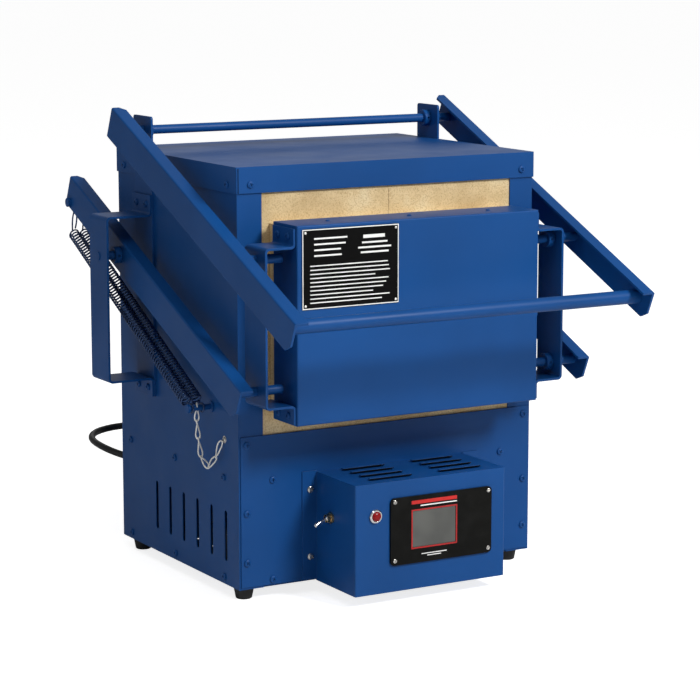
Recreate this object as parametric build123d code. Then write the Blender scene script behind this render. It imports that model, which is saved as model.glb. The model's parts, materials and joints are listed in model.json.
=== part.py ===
from build123d import *
import math
import os

# Front-loading pottery kiln with a door that lifts straight up on two pairs of parallel arms.
#
# The kiln is drawn with X to the right, Y to the back and Z up. While it is drawn, Y = 0 is the
# front of the steel body and Z = 0 is its underside. save() then moves every piece so that the
# origin lies on the floor, under the middle of the whole object. Every size is in millimetres.
# "Left" and "right" are those of somebody facing the door.

# Whole object
FOOT_HEIGHT = 18.0
CENTRE_Y = 118.6           # middle of the object's depth, arms included, behind the body's front

# Steel body
HALF_WIDTH = 233.5
DEPTH = 368.3
SHEET = 1.5
LOOSE = 0.3                # gap left between two sheets that are only screwed together
PANEL_TOP = 569.9
FRONT_FLANGE = 37.0
PANEL_SPLIT = 210.0        # top of the lower front panel
CAP_TOP = 571.7
CAP_BOTTOM = 536.4
CAP_OVERHANG = 2.1

# Firebrick lining
BRICK_HALF_WIDTH = 228.6
BRICK_FRONT = 1.8
BRICK_BACK = 366.0
SHELF_TOP = 208.5
CHAMBER_HALF_WIDTH = 165.0
CHAMBER_FLOOR = 272.3
CHAMBER_ROOF = 490.0
CHAMBER_BACK = 302.0
ROOF_BRICK_TOP = 566.0
COURSE_SPLIT = 381.0
ELEMENT_HEIGHTS = (315.0, 365.0, 440.0)
ELEMENT_RADIUS = 4.5
GROOVE = 12.0

# Flat steel bar used for uprights and straps
BAR_WIDTH = 57.0
BAR_THICKNESS = 3.2
BEND_RADIUS = 5.0
HINGE_Y = 279.5            # both rear pivots stand above each other on the uprights
UPRIGHT_TOP = 621.5
UPRIGHT_BOTTOM = 226.0
UPRIGHT_INNER = HALF_WIDTH
UPRIGHT_OUTER = UPRIGHT_INNER + BAR_THICKNESS
REAR_STRAP_OUTER = 307.0
REAR_STRAP_TOP = 485.0
REAR_STRAP_BOTTOM = 250.0

# Door linkage: a parallelogram on each side of the body
UPPER_HINGE_Z = 601.5
LINK_DROP = 173.8          # distance from an upper pivot down to the lower pivot under it
LINK_LENGTH = 362.0        # from a rear pivot to the door pin of the same arm
ARM_TILT = math.radians(23.8)
HANDLE_REACH = 525.0       # from the rear rod to the handle bar, along the arm
PIN_RADIUS = 6.35
RUNNING_GAP = 0.05
OPEN_PIVOT_GAP = 0.10
HANDLE_RADIUS = 9.5
COLLAR_RADIUS = 12.0
COLLAR_LENGTH = 9.5

# L-shaped arms
ARM_OUTER = 275.2
ARM_INNER = ARM_OUTER - BAR_THICKNESS
ARM_FLANGE = 19.0
ARM_ABOVE = 22.0           # from the pivot line up to the arm's top
ARM_BELOW = 22.5
ARM_CLIP = 11.0
FLANGE_CLIP = 8.0
UPPER_ARM_REAR = 28.0
UPPER_ARM_FRONT = 552.0
LOWER_ARM_REAR = 190.0
LOWER_ARM_FRONT = 391.0

# Counterbalance springs and safety chains
SPRING_BOLT_BACK = 178.0   # along the lower arm, behind its pivot
SPRING_BOLT_DROP = 15.0
SPRING_RADIUS = 7.5
SPRING_WIRE = 1.1
SPRING_PLANES = (247.9, 263.9)
SPRING_EYE = 5.4
SPRING_LEG = 18.0
SPRING_BEND = (466.0, 440.0)  # the coils end here, and a long hook goes up to the bolt
STUD_Y = 79.0
STUD_Z = 240.0
STUD_RADIUS = 4.0
CHAIN_ROUTE = (
    (-256.0, 79.5, 234.3),
    (-252.5, 85.8, 209.7),
    (-247.5, 82.4, 167.0),
    (-245.5, 71.9, 155.4),
    (-243.0, 54.2, 167.5),
    (-239.5, 42.5, 189.0),
)
CHAIN_BENDS = (9.0, 9.0, 6.0, 9.0)
CHAIN_RADIUS = 1.6
CHAIN_SCREW = (40.0, 201.0)

# Door
DOOR_HALF_WIDTH = 189.0
DOOR_FRONT = -83.0
DOOR_REAR = -18.5
DOOR_BOTTOM = 235.0
DOOR_TOP = 500.0
DOOR_BRICK_MARGIN = 5.0
DOOR_BRICK_FACE = 1.2
DOOR_STRAP_OUTER = 234.0
DOOR_STRAP_TOP = 472.8
DOOR_STRAP_BOTTOM = 259.6
DOOR_STRAP_FLANGE = 23.0
DOOR_PIN_INNER = 196.0
NOTICE_X = (-182.0, -35.0)
NOTICE_Z = (389.0, 495.0)
NOTICE_THICKNESS = 0.8

# Control box
BOX_LEFT = -116.0
BOX_RIGHT = 121.0
BOX_FRONT = -107.9
BOX_TOP = 152.0
BOX_FLANGE = 22.0
FACEPLATE_X = (-62.5, 98.0)
FACEPLATE_Z = (36.5, 129.0)
FACEPLATE_THICKNESS = 3.0
SCREEN_X = (-28.6, 40.1)
SCREEN_Z = (58.2, 108.5)
PILOT_X = -85.1
PILOT_Z = 107.6
TOGGLE_Y = -44.0
TOGGLE_Z = 96.0
TOGGLE_TILT = 22.0         # degrees below level when switched off
TOGGLE_PIVOT_X = BOX_LEFT - 5.3

# Power cord, laid behind the kiln
CORD_RADIUS = 5.0
GLAND_X = -128.0
GLAND_Z = 134.0
GLAND_LENGTH = 30.0
COIL_X = 75.0
COIL_Y = 456.0
COIL_MIDDLE_RADIUS = 52.0  # two turns lie side by side on the floor, and a third on top of them
COIL_LOW_RADIUS = COIL_MIDDLE_RADIUS + CORD_RADIUS
COIL_HEIGHT = 4 * CORD_RADIUS
PLUG_X = COIL_X + 15.0
PLUG_Y = COIL_Y - COIL_MIDDLE_RADIUS - 2 * CORD_RADIUS
PLUG_Z = 3 * CORD_RADIUS   # above the floor
FLOOR = -FOOT_HEIGHT

# Screws
SCREW_HEAD = 4.0
SCREW_HEAD_HEIGHT = 2.4
SCREW_SHANK = 1.9
SCREW_HOLE = 2.2


def save(node, *solids):
    """Move the node's solids into the shared frame and write them to one STEP file."""
    placed = [Pos(0, -CENTRE_Y, FOOT_HEIGHT) * solid for solid in solids]
    shape = placed[0] if len(placed) == 1 else Compound(children=placed)
    export_step(shape, f"parts/{node}.step")


def block(x, y, z):
    """A box from three (low, high) pairs."""
    size = [high - low for low, high in (x, y, z)]
    middle = [(high + low) / 2 for low, high in (x, y, z)]
    return Pos(*middle) * Box(*size)


def rod_x(x, y, z, radius):
    """A cylinder along X between the two values of x."""
    return Pos(sum(x) / 2, y, z) * Rot(0, 90, 0) * Cylinder(radius, x[1] - x[0])


def rod_y(x, y, z, radius):
    """A cylinder along Y between the two values of y."""
    return Pos(x, sum(y) / 2, z) * Rot(90, 0, 0) * Cylinder(radius, y[1] - y[0])


def rod_z(x, y, z, radius):
    """A cylinder along Z between the two values of z."""
    return Pos(x, y, sum(z) / 2) * Cylinder(radius, z[1] - z[0])


def other_side(shape):
    """The same shape on the kiln's right."""
    return mirror(shape, about=Plane.YZ)


def cut(shape, tools):
    """Take a list of tools out of a shape."""
    for tool in tools:
        shape = shape - tool
    return shape


def tube_along(points, radii, radius):
    """A round bar along straight runs joined by arcs of the given radii."""
    path = FilletPolyline(*points, radius=radii)
    section = Plane(origin=path @ 0, z_dir=path % 0) * Circle(radius)
    return sweep(section, path=path)


def bent_bar(points, width, thickness, radius):
    """A flat bar of the given width in Y, bent in the XZ plane along its middle line."""
    path = FilletPolyline(*points, radius=radius)
    plane = Plane(origin=path @ 0, x_dir=(0, 1, 0), z_dir=path % 0)
    return sweep(plane * Rectangle(width, thickness), path=path)


def screw(direction, length):
    """A domed screw with its head's underside at the origin, facing along the direction."""
    head = Cylinder(SCREW_HEAD, SCREW_HEAD_HEIGHT)
    head = fillet(head.edges().group_by(Axis.Z)[-1], SCREW_HEAD_HEIGHT * 0.7)
    head = Pos(0, 0, SCREW_HEAD_HEIGHT / 2) * head
    shank = Pos(0, 0, -length / 2) * Cylinder(SCREW_SHANK, length)
    return Plane(origin=(0, 0, 0), z_dir=direction) * (head + shank)


def screws_at(places, direction, length):
    """The same screw at several places."""
    one = screw(direction, length)
    return [Pos(*place) * one for place in places]


def rivet(direction, radius, height):
    """A low domed rivet head with its underside at the origin."""
    head = Cylinder(radius, height)
    head = fillet(head.edges().group_by(Axis.Z)[-1], height * 0.6)
    return Plane(origin=(0, 0, 0), z_dir=direction) * (Pos(0, 0, height / 2) * head)


# ---- Points of the linkage, all at the rest position with the door shut ----

def along_arm(hinge_z, forward, up):
    """A point on an arm, measured forward along it from its rear pivot and square to it."""
    y = HINGE_Y - forward * math.cos(ARM_TILT) - up * math.sin(ARM_TILT)
    z = hinge_z - forward * math.sin(ARM_TILT) + up * math.cos(ARM_TILT)
    return y, z


LOWER_HINGE_Z = UPPER_HINGE_Z - LINK_DROP
UPPER_PIN_Y, UPPER_PIN_Z = along_arm(UPPER_HINGE_Z, LINK_LENGTH, 0)
LOWER_PIN_Z = UPPER_PIN_Z - LINK_DROP
HANDLE_Y, HANDLE_Z = along_arm(UPPER_HINGE_Z, HANDLE_REACH, 0)
BOLT_Y, BOLT_Z = along_arm(LOWER_HINGE_Z, -SPRING_BOLT_BACK, -SPRING_BOLT_DROP)
DOOR_STRAP_MIDDLE_Y = (DOOR_FRONT + DOOR_REAR) / 2
SIDE_SCREWS = [(y, z) for y in (44, 194, 338) for z in (10, 148)]
FRONT_SCREWS = [(x, z) for x in (-222, 222) for z in (37, 105, 199)]
FRONT_INNER_SCREWS = [(x, z) for x in (-183, 183) for z in (10, 148)]
CAP_FRONT_SCREWS = [(-214, 548), (214, 548)]
CAP_SIDE_SCREWS = [(24, 547), (344, 547)]
BACK_SCREWS = [(x, z) for x in (-215, 0, 215) for z in (30, 190, 520)]
STRAP_SCREWS = [(HINGE_Y + dy, z) for dy in (-15, 15) for z in (238, 499)]
DOOR_STRAP_SCREWS = [(y, z) for y in (-64, -37) for z in (247.5, 485)]


# ---- Steel body ----

def base_pan():
    """Floor tray of the body, with a lip all round and breathing holes."""
    outside = block((-231.7, 231.7), (1.8, 366.5), (0, 14))
    inside = block((-230.2, 230.2), (3.3, 365.0), (SHEET, 15))
    pan = outside - inside
    holes = [
        rod_z(x, y, (-1, 3), 6)
        for x in range(-150, 151, 50)
        for y in range(85, 286, 50)
    ]
    holes += [rod_x((-233, 233), y, z, SCREW_HOLE) for y, z in SIDE_SCREWS if z < 14]
    holes += [rod_y(x, (1, 4), z, SCREW_HOLE) for x, z in FRONT_INNER_SCREWS if z < 14]
    return cut(pan, holes)


def side_panel():
    """Left side sheet with its front flange and six tall cooling slots."""
    wall = block((-HALF_WIDTH, -HALF_WIDTH + SHEET), (0, DEPTH), (0, PANEL_TOP))
    flange = block((-HALF_WIDTH, -HALF_WIDTH + FRONT_FLANGE), (0, SHEET), (0, PANEL_TOP))
    panel = wall + flange
    slot = Rot(0, 90, 0) * extrude(SlotOverall(70, 8), 4, both=True)
    slots = [Pos(-HALF_WIDTH, 39 + 42.8 * step, 68) * slot for step in range(6)]
    screw_places = SIDE_SCREWS + CAP_SIDE_SCREWS + STRAP_SCREWS + [CHAIN_SCREW]
    holes = [rod_x((-240, -230), y, z, SCREW_HOLE) for y, z in screw_places]
    holes += [rod_y(x, (-1, 3), z, SCREW_HOLE) for x, z in FRONT_SCREWS + CAP_FRONT_SCREWS]
    holes.append(rod_x((-240, -230), STUD_Y, STUD_Z, STUD_RADIUS))
    return cut(panel, slots + holes)


def back_panel():
    """Rear sheet, folded forward at both sides, with cooling slots and the cord's hole."""
    sheet = block((-231.7, 231.7), (DEPTH - SHEET, DEPTH), (2, PANEL_TOP))
    lips = block((-231.7, -230.2), (350, DEPTH), (16, PANEL_TOP))
    panel = sheet + lips + other_side(lips)
    slot = Rot(90, 0, 0) * extrude(SlotOverall(70, 8), 4, both=True)
    slot = Rot(0, 90, 0) * slot
    slots = [Pos(x, DEPTH, 68) * slot for x in range(-60, 181, 40)]
    cord_hole = rod_y(GLAND_X, (360, 372), GLAND_Z, 7.5)
    probe_hole = rod_y(0, (360, 372), 345, 5.0)
    holes = [rod_y(x, (360, 372), z, SCREW_HOLE) for x, z in BACK_SCREWS]
    return cut(panel, slots + holes + [cord_hole, probe_hole])


def front_lower_panel():
    """Front sheet of the wiring space under the chamber."""
    panel = block((-231, 231), (-SHEET, 0), (3, PANEL_SPLIT))
    holes = [rod_y(x, (-3, 1), z, SCREW_HOLE) for x, z in FRONT_SCREWS + FRONT_INNER_SCREWS]
    holes += [rod_y(x, (-3, 1), z, SCREW_HOLE) for x, z in box_screw_places()]
    wire_hole = rod_y(0, (-3, 1), 60, 9)
    return cut(panel, holes + [wire_hole])


def shelf():
    """Steel shelf that carries the brick lining above the wiring space."""
    return block((-229.8, 229.8), (1.8, 366.5), (SHELF_TOP - SHEET, SHELF_TOP))


def top_cap():
    """Lid of the body: a sheet with a lip all round, notched for the two uprights."""
    side = HALF_WIDTH + CAP_OVERHANG
    front = -CAP_OVERHANG
    back = DEPTH + CAP_OVERHANG
    outside = block((-side, side), (front, back), (CAP_BOTTOM, CAP_TOP))
    upright_edges = outside.edges().filter_by(Axis.Z)
    outside = fillet(upright_edges, 2.0)
    inside = block(
        (-side + SHEET, side - SHEET),
        (front + SHEET, back - SHEET),
        (CAP_BOTTOM - 1, CAP_TOP - SHEET),
    )
    cap = outside - inside
    notch = block(
        (-side - 1, -HALF_WIDTH + 0.1),
        (HINGE_Y - BAR_WIDTH / 2 - 0.5, HINGE_Y + BAR_WIDTH / 2 + 0.5),
        (CAP_BOTTOM - 1, CAP_TOP + 1),
    )
    holes = [rod_x((-240, 240), y, z, SCREW_HOLE) for y, z in CAP_SIDE_SCREWS]
    holes += [rod_y(x, (-5, 2), z, SCREW_HOLE) for x, z in CAP_FRONT_SCREWS]
    return cut(cap, [notch, other_side(notch)] + holes)


def feet():
    """Four tapered rubber feet."""
    foot = Pos(0, 0, -FOOT_HEIGHT / 2) * Rot(180, 0, 0) * Cone(14.5, 11, FOOT_HEIGHT)
    foot = fillet(foot.edges().group_by(Axis.Z)[0], 2.5)
    return [Pos(x, y, 0) * foot for x in (-214, 214) for y in (25, 343)]


def body_screws():
    """Screws of the side sheets, the lower front panel, the cap and the back."""
    left = [(-HALF_WIDTH, y, z) for y, z in SIDE_SCREWS]
    right = [(HALF_WIDTH, y, z) for y, z in SIDE_SCREWS]
    side = HALF_WIDTH + CAP_OVERHANG
    cap_left = [(-side, y, z) for y, z in CAP_SIDE_SCREWS]
    cap_right = [(side, y, z) for y, z in CAP_SIDE_SCREWS]
    front = [(x, -SHEET, z) for x, z in FRONT_SCREWS + FRONT_INNER_SCREWS]
    cap_front = [(x, -CAP_OVERHANG, z) for x, z in CAP_FRONT_SCREWS]
    back = [(x, DEPTH, z) for x, z in BACK_SCREWS]
    return (
        screws_at(left + cap_left, (-1, 0, 0), 4)
        + screws_at(right + cap_right, (1, 0, 0), 4)
        + screws_at(front + cap_front, (0, -1, 0), 3.2)
        + screws_at(back, (0, 1, 0), 2)
    )


# ---- Brick lining, elements and probe ----

def element_grooves():
    """Square grooves that run round the side and back walls, one per element."""
    grooves = []
    for z in ELEMENT_HEIGHTS:
        height = (z - GROOVE / 2, z + GROOVE / 2)
        reach = CHAMBER_HALF_WIDTH + GROOVE
        side = block((-reach, -CHAMBER_HALF_WIDTH + 1), (24, CHAMBER_BACK + 1), height)
        back = block((-reach, reach), (CHAMBER_BACK, CHAMBER_BACK + GROOVE), height)
        grooves += [side, other_side(side), back]
    return grooves


def floor_bricks():
    """Two slabs side by side."""
    slab = block((-BRICK_HALF_WIDTH, -0.2), (BRICK_FRONT, BRICK_BACK), (SHELF_TOP, CHAMBER_FLOOR))
    return [slab, other_side(slab)]


def wall_bricks():
    """Two courses of the left wall."""
    across = (-BRICK_HALF_WIDTH, -CHAMBER_HALF_WIDTH)
    along = (BRICK_FRONT, CHAMBER_BACK - 0.2)
    lower = block(across, along, (CHAMBER_FLOOR, COURSE_SPLIT - 0.2))
    upper = block(across, along, (COURSE_SPLIT + 0.2, CHAMBER_ROOF))
    return [cut(course, element_grooves()) for course in (lower, upper)]


def back_bricks():
    """Two slabs side by side behind the chamber, drilled for the temperature probe."""
    across = (-BRICK_HALF_WIDTH, -0.2)
    along = (CHAMBER_BACK, BRICK_BACK)
    slab = block(across, along, (CHAMBER_FLOOR, CHAMBER_ROOF))
    tools = element_grooves() + [rod_y(0, (290, 370), 345, 4.6)]
    slab = cut(slab, tools)
    return [slab, other_side(slab)]


def roof_bricks():
    """Two slabs side by side over the chamber."""
    across = (-BRICK_HALF_WIDTH, -0.2)
    slab = block(across, (BRICK_FRONT, BRICK_BACK), (CHAMBER_ROOF, ROOF_BRICK_TOP))
    return [slab, other_side(slab)]


def heating_elements():
    """Three hoops of coiled wire, each drawn as the round bar that its coils fill."""
    side = CHAMBER_HALF_WIDTH + GROOVE / 2
    back = CHAMBER_BACK + GROOVE / 2
    hoops = []
    for z in ELEMENT_HEIGHTS:
        points = [(-side, 30, z), (-side, back, z), (side, back, z), (side, 30, z)]
        hoops.append(tube_along(points, 8.0, ELEMENT_RADIUS))
    return hoops


def temperature_probe():
    """Ceramic tube that reaches through the back wall into the chamber."""
    return rod_y(0, (279, DEPTH + 4), 345, 4.2)


def probe_block():
    """Ceramic terminal block of the probe, on the back panel."""
    body = block((-20, 20), (DEPTH, DEPTH + 24), (332, 358))
    body = fillet(body.edges().filter_by(Axis.Y), 3)
    return body - rod_y(0, (DEPTH - 1, DEPTH + 6), 345, 4.6)


# ---- Uprights and rear straps ----

def upright():
    """Left upright: a flat bar on the side panel, drilled for the rear rod."""
    bar = block(
        (-UPRIGHT_OUTER, -UPRIGHT_INNER),
        (HINGE_Y - BAR_WIDTH / 2, HINGE_Y + BAR_WIDTH / 2),
        (UPRIGHT_BOTTOM, UPRIGHT_TOP),
    )
    top_corners = bar.edges().filter_by(Axis.X).group_by(Axis.Z)[-1]
    bar = fillet(top_corners, 4)
    rod_hole = rod_x((-240, -230), HINGE_Y, UPPER_HINGE_Z, PIN_RADIUS + RUNNING_GAP)
    holes = [rod_x((-240, -230), y, z, SCREW_HOLE) for y, z in STRAP_SCREWS]
    return cut(bar, holes + [rod_hole])


def rear_strap():
    """Left C-shaped strap that carries the lower arm's pivot out beyond the arm."""
    half = BAR_THICKNESS / 2
    root = -UPRIGHT_OUTER - half
    web = -REAR_STRAP_OUTER + half
    points = [
        (root, HINGE_Y, REAR_STRAP_TOP + 27),
        (root, HINGE_Y, REAR_STRAP_TOP - half),
        (web, HINGE_Y, REAR_STRAP_TOP - half),
        (web, HINGE_Y, REAR_STRAP_BOTTOM + half),
        (root, HINGE_Y, REAR_STRAP_BOTTOM + half),
        (root, HINGE_Y, UPRIGHT_BOTTOM),
    ]
    strap = bent_bar(points, BAR_WIDTH, BAR_THICKNESS, BEND_RADIUS)
    pivot = rod_x((-310, -300), HINGE_Y, LOWER_HINGE_Z, PIN_RADIUS + RUNNING_GAP)
    holes = [rod_x((-242, -235), y, z, SCREW_HOLE) for y, z in STRAP_SCREWS]
    return cut(strap, holes + [pivot])


def rear_strap_screws():
    """Four screws through each rear strap and upright into the body."""
    face = UPRIGHT_OUTER + BAR_THICKNESS
    left = [(-face, y, z) for y, z in STRAP_SCREWS]
    right = [(face, y, z) for y, z in STRAP_SCREWS]
    return screws_at(left, (-1, 0, 0), 9) + screws_at(right, (1, 0, 0), 9)


# ---- Arms, rods, pins and collars ----

def angle_arm(hinge_z, rear, front):
    """Left arm: an L-shaped bar with its flange on top, pointing at the body."""
    top = ARM_ABOVE
    web = block((-ARM_OUTER, -ARM_INNER), (-front, rear), (-ARM_BELOW, top))
    across = (-ARM_OUTER, -ARM_OUTER + ARM_FLANGE)
    flange = block(across, (-front, rear), (top - BAR_THICKNESS, top))
    arm = web + flange
    long_edges = arm.edges().filter_by(Axis.Y)
    outer_bend = long_edges.sort_by(lambda edge: edge.center().X - edge.center().Z)[0]
    arm = fillet(outer_bend, 2.5)
    front_corner = Pos(-ARM_INNER, -front, -ARM_BELOW) * Rot(45, 0, 0)
    front_tool = front_corner * Box(20, ARM_CLIP * math.sqrt(2), ARM_CLIP * math.sqrt(2))
    rear_corner = Pos(-ARM_OUTER + ARM_FLANGE, rear, top) * Rot(0, 0, 45)
    rear_tool = rear_corner * Box(FLANGE_CLIP * math.sqrt(2), FLANGE_CLIP * math.sqrt(2), 20)
    arm = arm - front_tool - rear_tool
    return Pos(0, HINGE_Y, hinge_z) * Rot(math.degrees(ARM_TILT), 0, 0) * arm


def upper_arm():
    """Left upper arm, without holes: the rods and pins are welded to its inner face."""
    return angle_arm(UPPER_HINGE_Z, UPPER_ARM_REAR, UPPER_ARM_FRONT)


def lower_arm():
    """Left lower arm, with a hole at its rear end for the spring bolt."""
    arm = angle_arm(LOWER_HINGE_Z, LOWER_ARM_REAR, LOWER_ARM_FRONT)
    return arm - rod_x((-280, -265), BOLT_Y, BOLT_Z, 3.5)


def hinge_rod():
    """Rear rod across the kiln, welded between the two upper arms."""
    return rod_x((-ARM_INNER, ARM_INNER), HINGE_Y, UPPER_HINGE_Z, PIN_RADIUS)


def handle_bar():
    """Front bar across the kiln, welded between the two upper arms."""
    return rod_x((-ARM_INNER, ARM_INNER), HANDLE_Y, HANDLE_Z, HANDLE_RADIUS)


def collar(inner_x, y, z, bore_radius):
    """Left set-screw collar, reaching outward from inner_x."""
    outer_x = inner_x + COLLAR_LENGTH
    ring = rod_x((-outer_x, -inner_x), y, z, COLLAR_RADIUS)
    ring = chamfer(ring.edges(), 0.8)
    ring = ring - rod_x((-outer_x - 1, -inner_x + 1), y, z, bore_radius)
    middle = -(inner_x + outer_x) / 2
    return ring - rod_y(middle, (y - COLLAR_RADIUS - 1, y - COLLAR_RADIUS + 2.2), z, 2.0)


def rod_collars():
    """Collars on the rear rod, inside the uprights."""
    one = collar(UPRIGHT_INNER - LOOSE - COLLAR_LENGTH, HINGE_Y, UPPER_HINGE_Z, PIN_RADIUS)
    return [one, other_side(one)]


def door_pin(z):
    """Left door pin, from the arm's inner face to just short of the door."""
    return rod_x((-ARM_INNER, -DOOR_PIN_INNER), UPPER_PIN_Y, z, PIN_RADIUS)


def pin_collar(z):
    """Left collar that keeps the door strap on its pin."""
    strap_inner = DOOR_STRAP_OUTER - BAR_THICKNESS
    return collar(strap_inner - LOOSE - COLLAR_LENGTH, UPPER_PIN_Y, z, PIN_RADIUS)


def rear_pivot_pin():
    """Left pin of the lower arm's rear pivot, from the arm out through the rear strap."""
    return rod_x((-REAR_STRAP_OUTER - 1.2, -ARM_OUTER), HINGE_Y, LOWER_HINGE_Z, PIN_RADIUS)


def rear_pivot_collar():
    """Left spacer collar between the lower arm and the rear strap."""
    return collar(ARM_OUTER, HINGE_Y, LOWER_HINGE_Z, PIN_RADIUS)


def spring_bolt():
    """Left bolt through the lower arm's rear end, which both springs hook onto."""
    shank = rod_x((-ARM_OUTER - 1, -SPRING_PLANES[0] + 4.5), BOLT_Y, BOLT_Z, 3.5)
    head = rod_x((-ARM_OUTER - 4.5, -ARM_OUTER), BOLT_Y, BOLT_Z, 6.5)
    tip = rod_x((-SPRING_PLANES[0] + 3.5, -SPRING_PLANES[0] + 7), BOLT_Y, BOLT_Z, 5.5)
    return shank + head + tip


# ---- Springs, studs and chains ----

def spring(plane):
    """Left extension spring in one plane: an eye, closed coils and a long hook up to the bolt."""
    start = Vector(-plane, STUD_Y, STUD_Z)
    bend = Vector(-plane, *SPRING_BEND)
    bolt = Vector(-plane, BOLT_Y, BOLT_Z)
    coil_end = (bend - start).length
    angle = math.degrees(math.atan2(bend.Z - start.Z, bend.Y - start.Y))
    coils = rod_y(0, (SPRING_LEG, coil_end), 0, SPRING_RADIUS)
    bore = rod_y(0, (SPRING_LEG + 2, coil_end - 2), 0, SPRING_RADIUS - 2 * SPRING_WIRE)
    leg = rod_y(0, (SPRING_EYE, SPRING_LEG + 1), 0, SPRING_WIRE)
    eye = Rot(0, 90, 0) * Torus(SPRING_EYE, SPRING_WIRE)
    coiled = Pos(*start) * Rot(angle, 0, 0) * ((coils - bore) + leg + eye)
    hook_length = (bolt - bend).length - SPRING_EYE
    hook_angle = math.degrees(math.atan2(bolt.Z - bend.Z, bolt.Y - bend.Y))
    hook = Pos(*bend) * Rot(hook_angle, 0, 0) * rod_y(0, (-1, hook_length), 0, SPRING_WIRE)
    return coiled + hook + Pos(*bolt) * eye


def spring_stud():
    """Left stud on the body's side that holds the springs and the top of the chain."""
    shank = rod_x((-SPRING_PLANES[1] - 4, -HALF_WIDTH + SHEET), STUD_Y, STUD_Z, STUD_RADIUS)
    washer = rod_x((-HALF_WIDTH - 2, -HALF_WIDTH), STUD_Y, STUD_Z, 8)
    tip = rod_x((-SPRING_PLANES[1] - 7, -SPRING_PLANES[1] - 3), STUD_Y, STUD_Z, 6)
    return shank + washer + tip


def chain():
    """Left safety chain, drawn as the bar that its twisted links fill."""
    return tube_along(list(CHAIN_ROUTE), list(CHAIN_BENDS), CHAIN_RADIUS)


def chain_screws():
    """One washer-head screw on each side at the free end of its chain."""
    y, z = CHAIN_SCREW
    left = Pos(-HALF_WIDTH, y, z) * screw((-1, 0, 0), 3)
    return [left, other_side(left)]


# ---- Door ----

def door_pan():
    """Steel pan of the door, open towards the chamber."""
    outside = block(
        (-DOOR_HALF_WIDTH, DOOR_HALF_WIDTH),
        (DOOR_FRONT, DOOR_REAR),
        (DOOR_BOTTOM, DOOR_TOP),
    )
    front_edges = outside.edges().group_by(Axis.Y)[0]
    outside = fillet(front_edges, 2.0)
    inside = block(
        (-DOOR_HALF_WIDTH + SHEET, DOOR_HALF_WIDTH - SHEET),
        (DOOR_FRONT + SHEET, DOOR_REAR + 1),
        (DOOR_BOTTOM + SHEET, DOOR_TOP - SHEET),
    )
    pan = outside - inside
    holes = [rod_x((-192, 192), y, z, SCREW_HOLE) for y, z in DOOR_STRAP_SCREWS]
    return cut(pan, holes)


def door_bricks():
    """Two insulating slabs side by side that stand out of the pan and close the chamber."""
    slab = block(
        (-DOOR_HALF_WIDTH + DOOR_BRICK_MARGIN, -0.2),
        (DOOR_FRONT + SHEET, DOOR_BRICK_FACE),
        (DOOR_BOTTOM + DOOR_BRICK_MARGIN, DOOR_TOP - DOOR_BRICK_MARGIN),
    )
    return [slab, other_side(slab)]


def door_strap():
    """Left C-shaped strap on the door, drilled for the two door pins."""
    half = BAR_THICKNESS / 2
    root = -DOOR_HALF_WIDTH - half
    web = -DOOR_STRAP_OUTER + half
    y = DOOR_STRAP_MIDDLE_Y
    points = [
        (root, y, DOOR_STRAP_TOP + DOOR_STRAP_FLANGE),
        (root, y, DOOR_STRAP_TOP - half),
        (web, y, DOOR_STRAP_TOP - half),
        (web, y, DOOR_STRAP_BOTTOM + half),
        (root, y, DOOR_STRAP_BOTTOM + half),
        (root, y, DOOR_STRAP_BOTTOM - DOOR_STRAP_FLANGE),
    ]
    strap = bent_bar(points, BAR_WIDTH, BAR_THICKNESS, BEND_RADIUS)
    upper = rod_x((-240, -225), UPPER_PIN_Y, UPPER_PIN_Z, PIN_RADIUS + RUNNING_GAP)
    lower = rod_x((-240, -225), UPPER_PIN_Y, LOWER_PIN_Z, PIN_RADIUS + OPEN_PIVOT_GAP)
    holes = [rod_x((-195, -186), y, z, SCREW_HOLE) for y, z in DOOR_STRAP_SCREWS]
    return cut(strap, holes + [upper, lower])


def door_strap_screws():
    """Four screws through each door strap into the pan."""
    face = DOOR_HALF_WIDTH + BAR_THICKNESS
    left = [(-face, y, z) for y, z in DOOR_STRAP_SCREWS]
    right = [(face, y, z) for y, z in DOOR_STRAP_SCREWS]
    return screws_at(left, (-1, 0, 0), 6) + screws_at(right, (1, 0, 0), 6)


def notice_plate():
    """Blank enamelled plate on the door."""
    plate = block(NOTICE_X, (DOOR_FRONT - NOTICE_THICKNESS, DOOR_FRONT), NOTICE_Z)
    return fillet(plate.edges().filter_by(Axis.Y), 2.0)


def notice_rivets():
    """A rivet in each corner of the plate."""
    one = rivet((0, -1, 0), 1.8, 1.0)
    face = DOOR_FRONT - NOTICE_THICKNESS
    inset = 5.0
    columns = (NOTICE_X[0] + inset, NOTICE_X[1] - inset)
    rows = (NOTICE_Z[0] + inset, NOTICE_Z[1] - inset)
    return [Pos(x, face, z) * one for x in columns for z in rows]


def door_rivets():
    """Rivets along the top and bottom of the pan that hold its bricks."""
    top = rivet((0, 0, 1), 3.2, 1.6)
    bottom = rivet((0, 0, -1), 3.2, 1.6)
    places = (-126, 0, 126)
    upper = [Pos(x, -52, DOOR_TOP) * top for x in places]
    lower = [Pos(x, -52, DOOR_BOTTOM) * bottom for x in places]
    return upper + lower


# ---- Control box ----

def box_screw_places():
    """Middles of the four screws that hold the control box's flanges."""
    left = BOX_LEFT - 9.5
    right = BOX_RIGHT + 9.5
    return [(x, z) for x in (left, right) for z in (34.6, 128.5)]


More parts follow.
